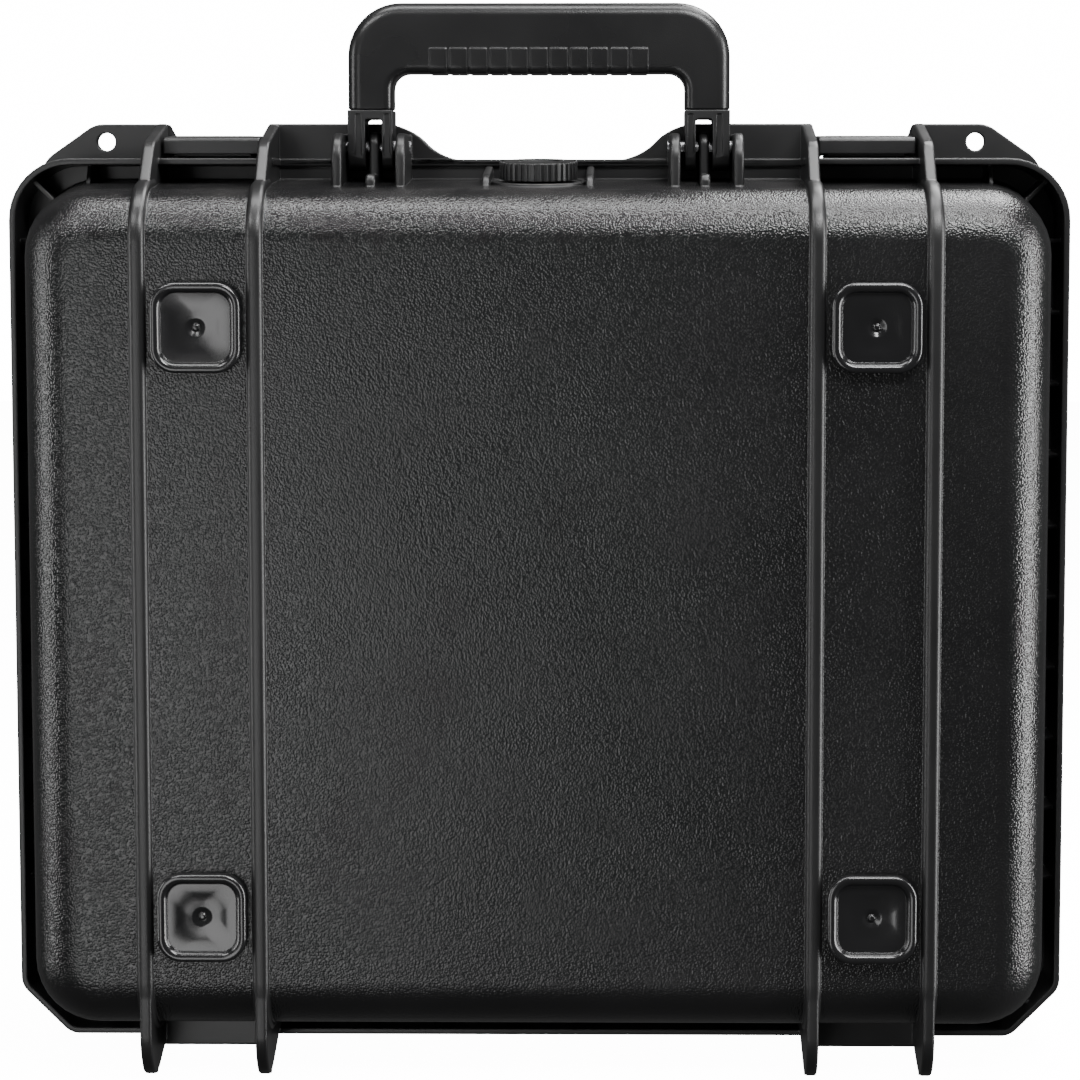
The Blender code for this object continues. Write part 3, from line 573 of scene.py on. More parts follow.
def addRim(side, core):
    size = rimSizes
    gap = caseSizes["partGap"]
    rim = addBlock("rim", (-size["half"], size["half"]), (yAt(side, gap), yAt(side, size["skirtOut"])),
                   (size["low"], size["high"]))
    editMode()
    along = lambda edge: spanOf(edge, "y") > 0.01
    roundEdges(lambda edge: along(edge) and middle(edge).z > 0.2, size["corner"], 10)
    roundEdges(lambda edge: along(edge) and middle(edge).z < 0.01, size["chamfer"], 1)
    roundEdges(lambda edge: along(edge) and middle(edge).z < 0.05, 0.003, 3)
    roundEdges(lambda edge: all(outOf(side, vert.co.y) < gap + 0.0001 for vert in edge.verts),
               size["partEdge"], 1)
    pick("FACE", lambda face: abs(outOf(side, middle(face).y) - size["skirtOut"]) < 0.0001)
    bpy.ops.mesh.inset(thickness=size["skirtWall"])
    bpy.ops.mesh.extrude_region_move(
        TRANSFORM_OT_translate={"value": (0, side * (size["flangeOut"] - size["skirtOut"]), 0)})
    roundEdges(lambda edge: all(abs(outOf(side, vert.co.y) - size["skirtOut"]) < 0.0001 for vert in edge.verts)
               and sharpEdge(edge), size["edge"], 2)
    tidyNormals()
    objectMode()
    cutBy(rim, core, keepCutter=True)
    if side < 0:
        cutBy(rim, addBlock("skirtBreak", (-size["breakHalf"], size["breakHalf"]),
                            [yAt(side, out) for out in size["breakOut"]], size["breakZ"]))
    else:
        groove = bodyBlock("groove", side, -size["sealOutset"], -0.004)
        inner = bodyBlock("grooveInner", side, size["sealWidth"] - size["sealOutset"], -0.005)
        cutBy(groove, addBlock("grooveTop", (-0.3, 0.3), (yAt(side, size["sealDepth"]), yAt(side, 0.1)),
                               (-0.1, 0.5)))
        cutBy(groove, inner)
        cutBy(rim, groove)
    return paint(rim, caseSmooth)


ribSizes = {
    "places": (-0.1496, -0.1054, 0.1054, 0.1496),
    "beadWidth": 0.0062, "beadProud": 0.00275, "beadRound": 0.0021, "beadBack": 0.030, "beadReach": 0.033,
    "plateWidth": 0.0046, "plateRound": 0.0011, "plateTop": 0.3676,
    "finOut": 0.007, "finHigh": 0.030, "finFoot": 0.0086, "finFlat": 0.054, "finFront": 0.006,
    "finRise": 0.012, "finTop": 0.045, "finTopBack": 0.010, "finShy": 0.0006,
    "finRounds": [(4, 0.006, 5), (5, 0.006, 5), (3, 0.004, 3)],
    "earOut": 0.004, "earLow": 0.330, "earBack": 0.0320, "earTop": 0.3594, "earFront": 0.0185, "earNose": 0.3436,
}


def addRibs(side, core):
    size = ribSizes
    depth = depthOf(side)
    proud, back = depth + size["beadProud"], depth - size["beadBack"]
    rise = math.tan(caseSizes["draft"]) * size["beadReach"]
    top, low = caseSizes["faceHigh"] + size["beadProud"], caseSizes["faceLow"] - size["beadProud"]
    corner = caseSizes["faceFillet"] + size["beadProud"]
    bead = addProfile("bead", side, 0, size["beadWidth"] / 2,
                      [(back, top + rise), (proud, top), (proud, low), (back, low - rise)],
                      [(1, corner, 8), (2, corner, 8)])
    softenAll(bead, size["beadRound"], 3, 60, lambda edge: spanOf(edge, "x") < 0.001
              and outOf(side, middle(edge).y) > back + 0.001)
    half = size["plateWidth"] / 2
    finFront, finTop = proud - size["finShy"], size["finTop"]
    fin = addProfile("fin", side, 0, half, [
        (size["finOut"], size["finHigh"]), (size["finOut"], size["finFoot"]),
        (rimSizes["skirtOut"] - 0.0015, size["finFoot"]), (size["finFlat"], 0.0),
        (depth - size["finFront"], 0.0), (finFront, size["finRise"]), (finFront, finTop),
        (depth - size["finTopBack"], finTop)], size["finRounds"])
    softenAll(fin, size["plateRound"], 3, 60, lambda edge: spanOf(edge, "x") < 0.001
              and middle(edge).z < finTop - 0.005)
    earFront = depth - size["earFront"]
    ear = addProfile("ear", side, 0, half, [
        (size["earOut"], size["earLow"]), (size["earOut"], size["plateTop"]),
        (depth - size["earBack"], size["earTop"]), (earFront, size["earNose"]), (earFront, size["earLow"])],
        [(2, 0.003, 4)])
    softenAll(ear, size["plateRound"], 3, 60, lambda edge: spanOf(edge, "x") < 0.001
              and middle(edge).z > 0.3405)
    for piece in (bead, fin, ear):
        cutBy(piece, core, keepCutter=True)
    rib = paint(joinAll("rib", [bead, fin, ear]), caseSmooth)
    return copiesAt(rib, [(x, 0, 0) for x in size["places"]])


plateSizes = {
    "outRange": (0.0004, 0.007), "tabOut": 0.0040, "low": 0.351, "top": 0.3675, "edge": 0.0007,
    "handleHalf": 0.1064, "dip": 0.3532, "slope": (0.0385, 0.0525), "slopeRound": 0.0088,
    "padlock": ((0.1486, 0.351), (0.1486, 0.3675), (0.1765, 0.3675), (0.1978, 0.3526), (0.1992, 0.338),
                (0.187, 0.3465), (0.178, 0.351)),
    "holeX": 0.172, "holeZ": 0.3605, "holeRadius": {-1: 0.0035, 1: 0.0044},
}


def addPlates(side):
    size = plateSizes
    back, front = (yAt(side, out) for out in size["outRange"])
    push = (0, front - back, 0)
    inner, outer = size["slope"]
    halfOutline = [(outer, size["top"]), (inner, size["dip"])]
    corners = [(-size["handleHalf"], size["low"]), (-size["handleHalf"], size["top"])]
    corners += [(-x, z) for x, z in halfOutline] + halfOutline[::-1]
    corners += [(size["handleHalf"], size["top"]), (size["handleHalf"], size["low"])]
    rounds = [(index, size["slopeRound"], 7) for index in (2, 3, 4, 5)]
    handlePlate = addOutline("handlePlate", [(x, back, z) for x, z in corners], push, rounds)
    padlockPlate = addOutline("padlockPlate", [(x, back, z) for x, z in size["padlock"]],
                              (0, yAt(side, size["tabOut"]) - back, 0), [(2, 0.003, 4), (3, 0.005, 5)])
    holeSpot = (size["holeX"], (back + front) / 2, size["holeZ"])
    cutBy(padlockPlate, addRod("hole", holeSpot, size["holeRadius"][side], 0.03, "Y", 32))
    plates = [handlePlate, padlockPlate]
    for plate in plates:
        softenAll(plate, size["edge"], 2, 50, lambda edge: spanOf(edge, "y") < 0.0001
                  and middle(edge).z > 0.3385)
    plates.append(mirrorX(padlockPlate))
    return paintAll(plates, caseSmooth)


webSizes = {
    "half": 0.0008, "outLow": 0.0045, "outHigh": 0.027, "slope": 0.006, "latchX": 0.1755,
    "sideZ": [0.0695 + 0.028 * k for k in range(10)], "hingeX": (0.012, 0.040, 0.068, 0.172),
    "cornerX": 0.186, "corners": ((0.3335, -45, 0.0165), (0.0275, 45, 0.0126)),
}


def addWeb(side, span, across, along):
    # a thin web between the skirt and the wall; span runs outwards from the wall to the skirt
    size = webSizes
    half = size["half"]
    yRange = (yAt(side, size["outLow"]), yAt(side, size["outHigh"]))
    if along == "X":
        web = addBlock("web", span, yRange, (across - half, across + half))
    else:
        web = addBlock("web", (across - half, across + half), yRange, span)
    editMode()
    axis = "XZ".index(along) * 2
    pick("EDGE", lambda edge: outOf(side, middle(edge).y) > size["outHigh"] - 0.0001
         and abs(middle(edge)[axis] - span[1]) < 0.0001)
    bpy.ops.transform.translate(value=(0, -side * size["slope"], 0))
    roundEdges(lambda edge: outOf(side, middle(edge).y) > size["outHigh"] - 0.008 and sharpEdge(edge, 30)
               and spanOf(edge, along.lower()) > 0.001, 0.0004, 2)
    objectMode()
    return web


def addWebs(side):
    size, rim, body = webSizes, rimSizes, caseSizes
    grown = (depthOf(side) - rim["skirtOut"]) * math.tan(body["draft"])
    wallX, skirtX = body["faceHalf"] + grown - 0.001, rim["half"] - rim["skirtWall"] / 2
    webs = copiesAt(addWeb(side, (wallX, skirtX), 0.0, "X"), [(0, 0, z) for z in size["sideZ"]])
    low = addWeb(side, (body["faceLow"] - grown + 0.001, rim["low"] + rim["skirtWall"] / 2), 0.0, "Z")
    webs += copiesAt(low, [(x, 0, 0) for x in size["hingeX"]])
    highSpan = (body["faceHigh"] + grown - 0.001, rim["high"] - rim["skirtWall"] / 2)
    webs.append(addWeb(side, highSpan, size["latchX"], "Z"))
    for z, turn, reach in size["corners"]:
        corner = addBlock("web", (0, reach), (yAt(side, size["outLow"]), yAt(side, size["outHigh"] - 0.004)),
                          (-size["half"], size["half"]))
        corner.rotation_euler = (0, math.radians(turn), 0)
        corner.location = (size["cornerX"], 0, z)
        applyPlace()
        webs.append(corner)
    webs += [mirrorX(web) for web in webs]
    return paintAll(webs, caseSmooth)


hingeSizes = {
    "bays": (-0.1275, 0.1275), "bayHalf": 0.01935, "z": 0.006, "radius": 0.0045, "pinRadius": 0.0018,
    "lidHalf": 0.0108, "gap": 0.0004, "lipOut": (0.030, 0.037), "lipZ": (0.0046, 0.0195),
    "tongueOut": (0.0030, 0.0095), "tongueZ": (0.0030, 0.0100),
}


def addHinges(side):
    size = hingeSizes
    made = []
    for x in size["bays"]:
        if side > 0:
            spans = [(x - size["lidHalf"], x + size["lidHalf"])]
        else:
            reach, clear = size["bayHalf"] - 0.0002, size["lidHalf"] + size["gap"]
            spans = [(x - reach, x - clear), (x + clear, x + reach)]
        for low, high in spans:
            barrel = addRod("barrel", ((low + high) / 2, yAt(side, 0), size["z"]), size["radius"],
                            high - low, "X", 32)
            editMode()
            pick("FACE", lambda face: abs(face.normal.x) > 0.9)
            bpy.ops.mesh.inset(thickness=size["radius"] - size["pinRadius"])
            bpy.ops.mesh.delete(type="FACE")
            pick("EDGE", lambda edge: edge.is_boundary)
            bpy.ops.mesh.bridge_edge_loops()
            roundEdges(lambda edge: sharpEdge(edge, 60)
                       and fromLine(edge, yAt(side, 0), size["z"]) > size["radius"] - 0.0004, 0.0003, 2)
            tidyNormals()
            objectMode()
            tongue = addBlock("tongue", (low, high), [yAt(side, out) for out in size["tongueOut"]],
                              size["tongueZ"])
            softenAll(tongue, 0.0004, 1)
            made += [barrel, tongue]
        lip = addBlock("hingeLip", (x - size["bayHalf"] - 0.001, x + size["bayHalf"] + 0.001),
                       [yAt(side, out) for out in size["lipOut"]], size["lipZ"])
        softenAll(lip, 0.0011, 3, 60, lambda edge: spanOf(edge, "x") > 0.001)
        made.append(lip)
    return paintAll(made, caseSmooth)


def addHalf(side):
    core = bodyBlock("core", side, 0.0015, -0.01)
    pieces = [addBowl(side), addRim(side, core)]
    pieces += addRibs(side, core) + addPlates(side) + addWebs(side) + addHinges(side)
    bpy.data.objects.remove(core)
    return pieces


mountSizes = {
    "places": (0.0527, 0.0642, 0.0771), "width": 0.004, "top": 0.363, "out": 0.042, "backOut": 0.005,
    "wallZ": 0.3442, "frontZ": 0.340, "round": 0.010, "edge": 0.0013,
    "pinOut": 0.017, "pinZ": 0.358, "pinHole": 0.0028,
    # the middle mount stands behind the fork and drops below it
    "raised": 0.0008, "shoulder": (0.0058, 0.0064), "forkDrop": 0.0095, "forkGap": 0.0012,
}


def addMounts():
    size = mountSizes
    side = -1
    mounts = []
    pinY, back, out = yAt(side, size["pinOut"]), size["backOut"], size["out"]
    for index, x in enumerate(size["places"]):
        top, rounds = size["top"], [(2, size["round"], 7)]
        corners = [(back, size["wallZ"]), (back, top), (out, top), (out, size["frontZ"])]
        if index == 1:
            low = size["pinZ"] - size["forkDrop"] - size["forkGap"]
            top += size["raised"]
            high, foot = (size["pinOut"] + reach for reach in size["shoulder"])
            corners = [(back, size["wallZ"]), (back, top), (high, top), (foot, low), (out, low),
                       (out, size["frontZ"])]
            rounds = [(2, 0.005, 6), (4, 0.003, 4)]
        mount = addProfile("mount", side, x, size["width"] / 2, corners, rounds)
        cutBy(mount, addRod("pinHole", (x, pinY, size["pinZ"]), size["pinHole"], 0.02, "X", 28))
        softenAll(mount, size["edge"], 3, 60, lambda edge: spanOf(edge, "x") < 0.001
                  and fromLine(edge, pinY, size["pinZ"]) > 0.004)
        mounts.append(mount)
    mounts += [mirrorX(mount) for mount in mounts]
    return paintAll(mounts, caseSmooth)


valveSizes = {
    "out": 0.0275, "bossRadius": 0.01885, "bossHigh": 0.0012, "bushHole": 0.0058,
    "knobRadius": 0.01515, "knobHigh": 0.0070, "knobLift": 0.0006, "teeth": 36, "toothDeep": 0.0008,
    "stemRadius": 0.003, "stemLow": -0.007, "topFlat": 0.0085,
    "ribX": 0.020, "ribHalf": 0.0015,
    "ribCorners": [(0.005, 0.3430), (0.005, 0.3510), (0.0375, 0.3470), (0.0415, 0.3400)],
    "ringWide": 0.0022, "ringDeep": 0.0005, "seatLip": 0.0085, "bossSunk": 0.0015,
    "knobWall": 0.0015, "knobHollow": 0.003,
}


def toValve(piece):
    # takes a shape drawn upright at the origin to its seat on the drafted wall
    rise = (caseSizes["baseDepth"] - valveSizes["out"]) * math.tan(caseSizes["draft"])
    selectOnly(piece)
    piece.rotation_euler = (caseSizes["draft"], 0, 0)
    piece.location = (0, yAt(-1, valveSizes["out"]), caseSizes["faceHigh"] + rise)
    applyPlace()
    return piece


def addValveSeat():
    size = valveSizes
    sunk, ring = size["bossSunk"], size["ringWide"]
    boss = addRod("boss", (0, 0, (size["bossHigh"] - sunk) / 2), size["bossRadius"],
                  size["bossHigh"] + sunk, "Z", 72)
    editMode()
    pick("FACE", lambda face: face.normal.z > 0.9)
    bpy.ops.mesh.inset(thickness=ring)
    bpy.ops.mesh.extrude_region_move(TRANSFORM_OT_translate={"value": (0, 0, -size["ringDeep"])})
    bpy.ops.mesh.inset(thickness=size["bossRadius"] - ring - size["seatLip"])
    bpy.ops.mesh.extrude_region_move(TRANSFORM_OT_translate={"value": (0, 0, 0.0002)})
    roundEdges(lambda edge: sharpEdge(edge) and middle(edge).z > size["bossHigh"] - 0.0001, 0.0005, 3)
    objectMode()
    toValve(boss)
    rib = addProfile("valveRib", -1, size["ribX"], size["ribHalf"], size["ribCorners"], [(2, 0.003, 4)])
    softenAll(rib, 0.0009, 3, 60, lambda edge: spanOf(edge, "x") < 0.001)
    return paintAll([boss, rib, mirrorX(rib)], caseSmooth)


# on the base, what each latch hook pulls on; on the lid, the low wall each lever closes over
latchSeats = {
    -1: {"half": 0.014, "out": (0.009, 0.0162), "z": (0.3520, 0.3539)},
    1: {"half": 0.0147, "out": (0.0095, 0.0120), "z": (0.3500, 0.3572)},
}


def addLatchSeats(side):
    size = latchSeats[side]
    seats = []
    for x in hingeSizes["bays"]:
        seat = addBlock("latchSeat", (x - size["half"], x + size["half"]),
                        [yAt(side, out) for out in size["out"]], size["z"])
        seats.append(softenAll(seat, 0.0005, 2))
    return paintAll(seats, caseSmooth)


baseParts = addHalf(-1) + addMounts() + addValveSeat() + addLatchSeats(-1)
baseShell = finishPiece(joinAll("baseShell", baseParts), "base", ["base_shell"])
lidParts = addHalf(1) + addLatchSeats(1)
lidShell = finishPiece(joinAll("lidShell", lidParts), "lid", ["lid_shell"])
print("halves made:", len(baseShell.data.polygons), "and", len(lidShell.data.polygons), "faces")


footSizes = {
    "x": {"Left": -0.1275, "Right": 0.1275}, "z": {"Hinge": 0.0648, "Handle": 0.2895},
    "half": 0.017, "corner": 0.0092, "proud": 0.0045, "gap": 0.0003, "ring": 0.0030, "ringRound": 0.0013,
    "sunk": 0.0022, "wallSlope": 0.93,
    # from the panel's edge to its middle: mean radius, depth below the panel's edge, how round
    "dish": ((0.0118, 0.0001, 0.15), (0.0090, 0.0005, 0.5), (0.0062, 0.0008, 0.9), (0.0040, 0.0009, 1.0),
             (0.0033, 0.0011, 1.0), (0.0021, 0.0017, 1.0), (0.0015, 0.0018, 1.0), (0.0011, 0.0013, 1.0),
             (0.0006, 0.0011, 1.0)),
}


def addFoot():
    size = footSizes
    depth = caseSizes["baseDepth"]
    square = (-size["half"], size["half"])
    foot = addBlock("foot", square, (yAt(-1, depth + size["gap"]), yAt(-1, depth + size["proud"])), square)
    editMode()
    roundEdges(lambda edge: spanOf(edge, "y") > 0.001, size["corner"], 8)
    pick("FACE", lambda face: face.normal.y < -0.9)
    bpy.ops.mesh.inset(thickness=size["ring"])
    bpy.ops.mesh.extrude_region_move(TRANSFORM_OT_translate={"value": (0, size["sunk"], 0)})
    bpy.ops.transform.resize(value=(size["wallSlope"], 1, size["wallSlope"]), center_override=(0, 0, 0))
    roundEdges(lambda edge: sharpEdge(edge, 50) and middle(edge).y < yAt(-1, depth + size["proud"] - 0.0002),
               size["ringRound"], 4)
    pick("FACE", lambda face: face.normal.y < -0.9 and math.hypot(middle(face).x, middle(face).z) < 0.001)
    panelY = yAt(-1, depth + size["proud"] - size["sunk"])
    for radius, deep, roundness in size["dish"]:
        bpy.ops.mesh.extrude_region_move()
        cage = bmesh.from_edit_mesh(bpy.context.edit_object.data)
        ring = [vert for vert in cage.verts if vert.select]
        ring.sort(key=lambda vert: math.atan2(vert.co.z, vert.co.x))
        mean = sum(math.hypot(vert.co.x, vert.co.z) for vert in ring) / len(ring)
        for count, vert in enumerate(ring):
            even = math.pi * (2 * (count + 0.5) / len(ring) - 1)
            turn = math.atan2(vert.co.z, vert.co.x)
            turn += (even - turn) * roundness
            reach = math.hypot(vert.co.x, vert.co.z)
            reach = (radius / mean) * (reach + (mean - reach) * roundness)
            vert.co = (reach * math.cos(turn), panelY + deep, reach * math.sin(turn))
        bmesh.update_edit_mesh(bpy.context.edit_object.data)
    objectMode()
    return paint(foot, footRubber)


firstFoot = addFoot()
for end, z in footSizes["z"].items():
    for label, x in footSizes["x"].items():
        foot = copyAt(firstFoot, (x, 0, z))
        foot.name = "foot" + end + label
        finishPiece(foot, "base", [f"foot_{end}_{label}".lower()], angle=50)
bpy.data.objects.remove(firstFoot)
print("feet made")


handleSizes = {
    "half": 0.0742, "inner": 0.0567, "top": 0.4136, "under": 0.3864, "gripEnd": 0.3725,
    "corner": 0.0206, "innerCorner": 0.0062, "pinOut": 0.017, "pinZ": 0.358, "thick": 0.019,
    "outerRound": 0.0052, "innerRound": 0.0034,
    "padHalf": 0.0429, "padCount": 11, "padTop": 0.3962, "padProud": 0.00035, "padGap": 0.0006,
    "forkLow": 0.3488, "forkRound": 0.0080, "slotHalf": 0.0033, "slotTop": 0.3688, "pinHole": 0.0028,
    # shallow channels down the tines: places beside the slot's middle, width, depth, height
    "channelAt": (-0.0052, 0.0059), "channelHalf": 0.0011, "channelDeep": 0.0005, "channelZ": (0.3530, 0.3708),
}


def addGrip():
    size = handleSizes
    near, far = (yAt(-1, size["pinOut"] + sign * size["thick"] / 2) for sign in (-1, 1))
    half, inner, end = size["half"], size["inner"], size["gripEnd"]
    corners = [(-half, end), (-half, size["top"]), (half, size["top"]), (half, end),
               (inner, end), (inner, size["under"]), (-inner, size["under"]), (-inner, end)]
    rounds = [(index, size["corner"], 10) for index in (1, 2)]
    rounds += [(index, size["innerCorner"], 6) for index in (5, 6)]
    grip = addOutline("handleGrip", [(x, near, z) for x, z in corners], (0, far - near, 0), rounds)
    editMode()
    flat = lambda edge: spanOf(edge, "y") < 0.0001 and sharpEdge(edge, 60)
    atEnd = lambda edge: middle(edge).z < end + 0.0001
    outside = lambda edge: abs(middle(edge).x) > inner + 0.004 or middle(edge).z > size["under"] + 0.004
    roundEdges(lambda edge: flat(edge) and not atEnd(edge) and outside(edge), size["outerRound"], 5)
    roundEdges(lambda edge: flat(edge) and not atEnd(edge) and not outside(edge), size["innerRound"], 4)
    roundEdges(lambda edge: atEnd(edge) and sharpEdge(edge, 60), 0.0004, 1)
    tidyNormals()
    objectMode()
    pitch = 2 * size["padHalf"] / size["padCount"]
    proud = size["padProud"]
    pad = addBlock("pad", (size["padGap"] / 2, pitch - size["padGap"] / 2), (near + proud, far - proud),
                   (size["under"] - proud, size["padTop"]))
    editMode()
    roundEdges(lambda edge: spanOf(edge, "x") > 0.001 and middle(edge).z < size["under"] + 0.001,
               size["innerRound"], 4)
    roundEdges(lambda edge: sharpEdge(edge, 50), 0.0008, 2)
    tidyNormals()
    objectMode()
    pads = copiesAt(pad, [(-size["padHalf"] + k * pitch, 0, 0) for k in range(size["padCount"])])
    return joinAll("handleGrip", [grip] + pads)


def addFrame():
    size = handleSizes
    near, far = (yAt(-1, size["pinOut"] + sign * size["thick"] / 2) for sign in (-1, 1))
    pinY = yAt(-1, size["pinOut"])
    fork = addBlock("fork", (size["inner"], size["half"]), (near, far), (size["forkLow"], size["gripEnd"] - 0.0003))
    editMode()
    roundEdges(lambda edge: spanOf(edge, "x") > 0.001 and middle(edge).z < size["pinZ"],
               size["forkRound"], 7)
    objectMode()
    slotX = mountSizes["places"][1]
    slot = addBlock("slot", (slotX - size["slotHalf"], slotX + size["slotHalf"]), (near + 0.01, far - 0.01),
                    (0.340, size["slotTop"]))
    editMode()
    roundEdges(lambda edge: spanOf(edge, "y") > 0.01 and middle(edge).z > 0.36, 0.0013, 4)
    objectMode()
    cutBy(fork, slot)
    cutBy(fork, addRod("pinHole", (slotX, pinY, size["pinZ"]), size["pinHole"], 0.05, "X", 28))
    wide, deep = size["channelHalf"], size["channelDeep"]
    for x in [slotX + beside for beside in size["channelAt"]]:
        for y in (near, far):
            channel = addBlock("channel", (x - wide, x + wide), (y - deep, y + deep), size["channelZ"])
            editMode()
            roundEdges(lambda edge: spanOf(edge, "y") > deep, 0.0007, 3)
            objectMode()
            cutBy(fork, channel)
    softenAll(fork, 0.0004, 2, 50, lambda edge: edge.calc_length() > 0.0004
              and fromLine(edge, pinY, size["pinZ"]) > 0.0035)
    return joinAll("handleFrame", [fork, mirrorX(fork)])


finishPiece(addGrip(), "handle", ["handle_grip"], handleRubber, 50)
finishPiece(addFrame(), "handle", ["handle_frame"], fittingPlastic)
print("handle made")


def addKnob():
    size = valveSizes
    low = size["bossHigh"] + size["knobLift"]
    high = low + size["knobHigh"]
    body = size["knobRadius"] - size["toothDeep"]
    knob = addRod("valveKnob", (0, 0, (low + high) / 2), body, high - low, "Z", size["teeth"] * 4)
    editMode()
    step = math.pi / (size["teeth"] * 2)

    def onTooth(face):
        spot = middle(face)
        turn = math.atan2(spot.y, spot.x) % (2 * math.pi)
        return abs(face.normal.z) < 0.1 and int(turn / step + 0.01) % 4 < 2

    pick("FACE", onTooth)
    bpy.ops.mesh.extrude_region_shrink_fatten(TRANSFORM_OT_shrink_fatten={"value": size["toothDeep"]})
    pick("FACE", lambda face: face.normal.z > 0.9 and face.calc_area() > 0.0001)
    bpy.ops.mesh.inset(thickness=body - size["topFlat"] - 0.003)
    bpy.ops.mesh.inset(thickness=0.003)
    bpy.ops.mesh.extrude_region_move(TRANSFORM_OT_translate={"value": (0, 0, -0.0005)})
    pick("FACE", lambda face: face.normal.z < -0.9 and face.calc_area() > 0.0001)
    bpy.ops.mesh.inset(thickness=size["knobWall"])
    bpy.ops.mesh.extrude_region_move(TRANSFORM_OT_translate={"value": (0, 0, size["knobHollow"])})
    bpy.ops.mesh.inset(thickness=body - size["knobWall"] - size["stemRadius"])
    bpy.ops.mesh.extrude_region_move(
        TRANSFORM_OT_translate={"value": (0, 0, size["stemLow"] - low - size["knobHollow"])})
    roundEdges(lambda edge: middle(edge).z > high - 0.0001 and sharpEdge(edge, 50)
               and math.hypot(middle(edge).x, middle(edge).y) > body - 0.0005, 0.0007, 2)
    tidyNormals()
    objectMode()
    return toValve(knob)


finishPiece(addKnob(), "valve_knob", ["valve_knob"], fittingPlastic, 30)
print("valve made")


# the levers turn on the lid's pins
leverSizes = {
    "half": 0.0189, "freeOut": -0.024, "pinOut": 0.020, "pinZ": 0.3582, "pinHole": 0.0018,
    "linkOut": 0.006, "linkZ": 0.3571, "linkHole": 0.0013, "hookHalf": 0.0154, "roof": 0.3596,
    # heights along the side, from the free end's lip to the pin
    "under": (0.3554, 0.3551, 0.3540), "over": (0.3617, 0.3628, 0.3626), "crownOut": -0.004,
    "tail": 0.0042, "step": (0.003, 0.006), "lip": 0.004,
    "ridges": 3, "ridgePitch": 0.003, "ridgeWide": 0.0012, "ridgeZ": (0.3600, 0.36225), "ridgeRise": 0.00016,
}


def addLever(x):
    size = leverSizes
    free, half = size["freeOut"], size["half"]
    tail, (near, far) = size["pinOut"] + size["tail"], (size["pinOut"] - step for step in size["step"])
    lipLow, under, pinLow = size["under"]
    lipHigh, crown, pinHigh = size["over"]
    corners = [(free, lipLow), (free, lipHigh), (size["crownOut"], crown), (tail, pinHigh),
               (tail, pinLow), (near, pinLow), (far, under), (free + size["lip"], under)]
    lever = addProfile("lever", 1, x, half, corners,
                       [(1, 0.0016, 3), (3, 0.0040, 6), (4, 0.0040, 6), (7, 0.0012, 2)])
    editMode()
    roundEdges(lambda edge: spanOf(edge, "x") < 0.001 and sharpEdge(edge, 60)
               and middle(edge).z > under + 0.0002, 0.0008, 3)
    roundEdges(lambda edge: spanOf(edge, "x") > 0.01 and middle(edge).z > under + 0.0001
               and sharpEdge(edge, 25) and outOf(1, middle(edge).y) < free + size["lip"], 0.0004, 2)
    objectMode()
    hollow = addBlock("hollow", (x - size["hookHalf"], x + size["hookHalf"]),
                      (yAt(1, free + 0.0025), yAt(1, 0.030)), (0.350, size["roof"]))
    cutBy(lever, hollow)
    for end in ("pin", "link"):
        spot = (x, yAt(1, size[end + "Out"]), size[end + "Z"])
        cutBy(lever, addRod("hole", spot, size[end + "Hole"], 0.05, "X", 24))
    grips = []
    for k in range(size["ridges"]):  # pull ridges across the free end
        out = free + size["ridgePitch"] * (k + 1)
        low, high = size["ridgeZ"]
        ridge = addBlock("ridge", (x - half + 0.003, x + half - 0.003),
                         (yAt(1, out), yAt(1, out + size["ridgeWide"])), (low, high + size["ridgeRise"] * k))
        grips.append(softenAll(ridge, 0.0004, 2))
    return joinAll("lever", [lever] + grips)


for label, x in (("Left", -0.1275), ("Right", 0.1275)):
    lever = addLever(x)
    lever.name = "latchLever" + label
    finishPiece(lever, "lever_" + label.lower(), ["latch_lever_" + label.lower()],
                fittingPlastic)
print("latches made")


foamSizes = {
    "gap": 0.0038, "baseTop": 0.003, "lidTop": 0.034, "edge": 0.0012, "pocketCorner": 0.012,
    "pockets": ((-0.062, 0.205, 0.100, 0.082, 0.050), (0.112, 0.205, 0.050, 0.082, 0.045),
                (-0.120, 0.070, 0.040, 0.028, 0.040), (-0.022, 0.070, 0.040, 0.028, 0.040),
                (0.100, 0.070, 0.060, 0.028, 0.035)),
    "relief": 0.013, "reliefOut": (0.0135, 0.0415), "reliefZ": (-0.016, 0.010),
    # the lid's egg-crate side: depth, pitch, middle, half sizes, fade at the border, cuts across x and z
    "crateDeep": 0.010, "cratePitch": 0.0285, "crateZ": 0.1807, "crateHalf": (0.1745, 0.1425), "fade": 0.006,
    "cuts": ((0, 56, -0.176, 0.176), (2, 46, 0.037, 0.324)),
}


def addBaseFoam():
    size = foamSizes
    foam = bodyBlock("baseFoam", -1, size["gap"], size["baseTop"])
    cutBy(foam, addBlock("relief", (-size["relief"], size["relief"]), [yAt(-1, out) for out in size["reliefOut"]],
                         [caseSizes["faceHigh"] + z for z in size["reliefZ"]]))
    for x, z, halfX, halfZ, deep in size["pockets"]:
        pocket = addBlock("pocket", (x - halfX, x + halfX), (yAt(-1, -0.01), yAt(-1, size["baseTop"] + deep)),
                          (z - halfZ, z + halfZ))
        editMode()
        roundEdges(lambda edge: spanOf(edge, "y") > 0.01, size["pocketCorner"], 6)
        objectMode()
        cutBy(foam, pocket)
    softenAll(foam, size["edge"], 3, 60, lambda edge: abs(outOf(-1, middle(edge).y) - size["baseTop"]) < 0.0002)
    return foam


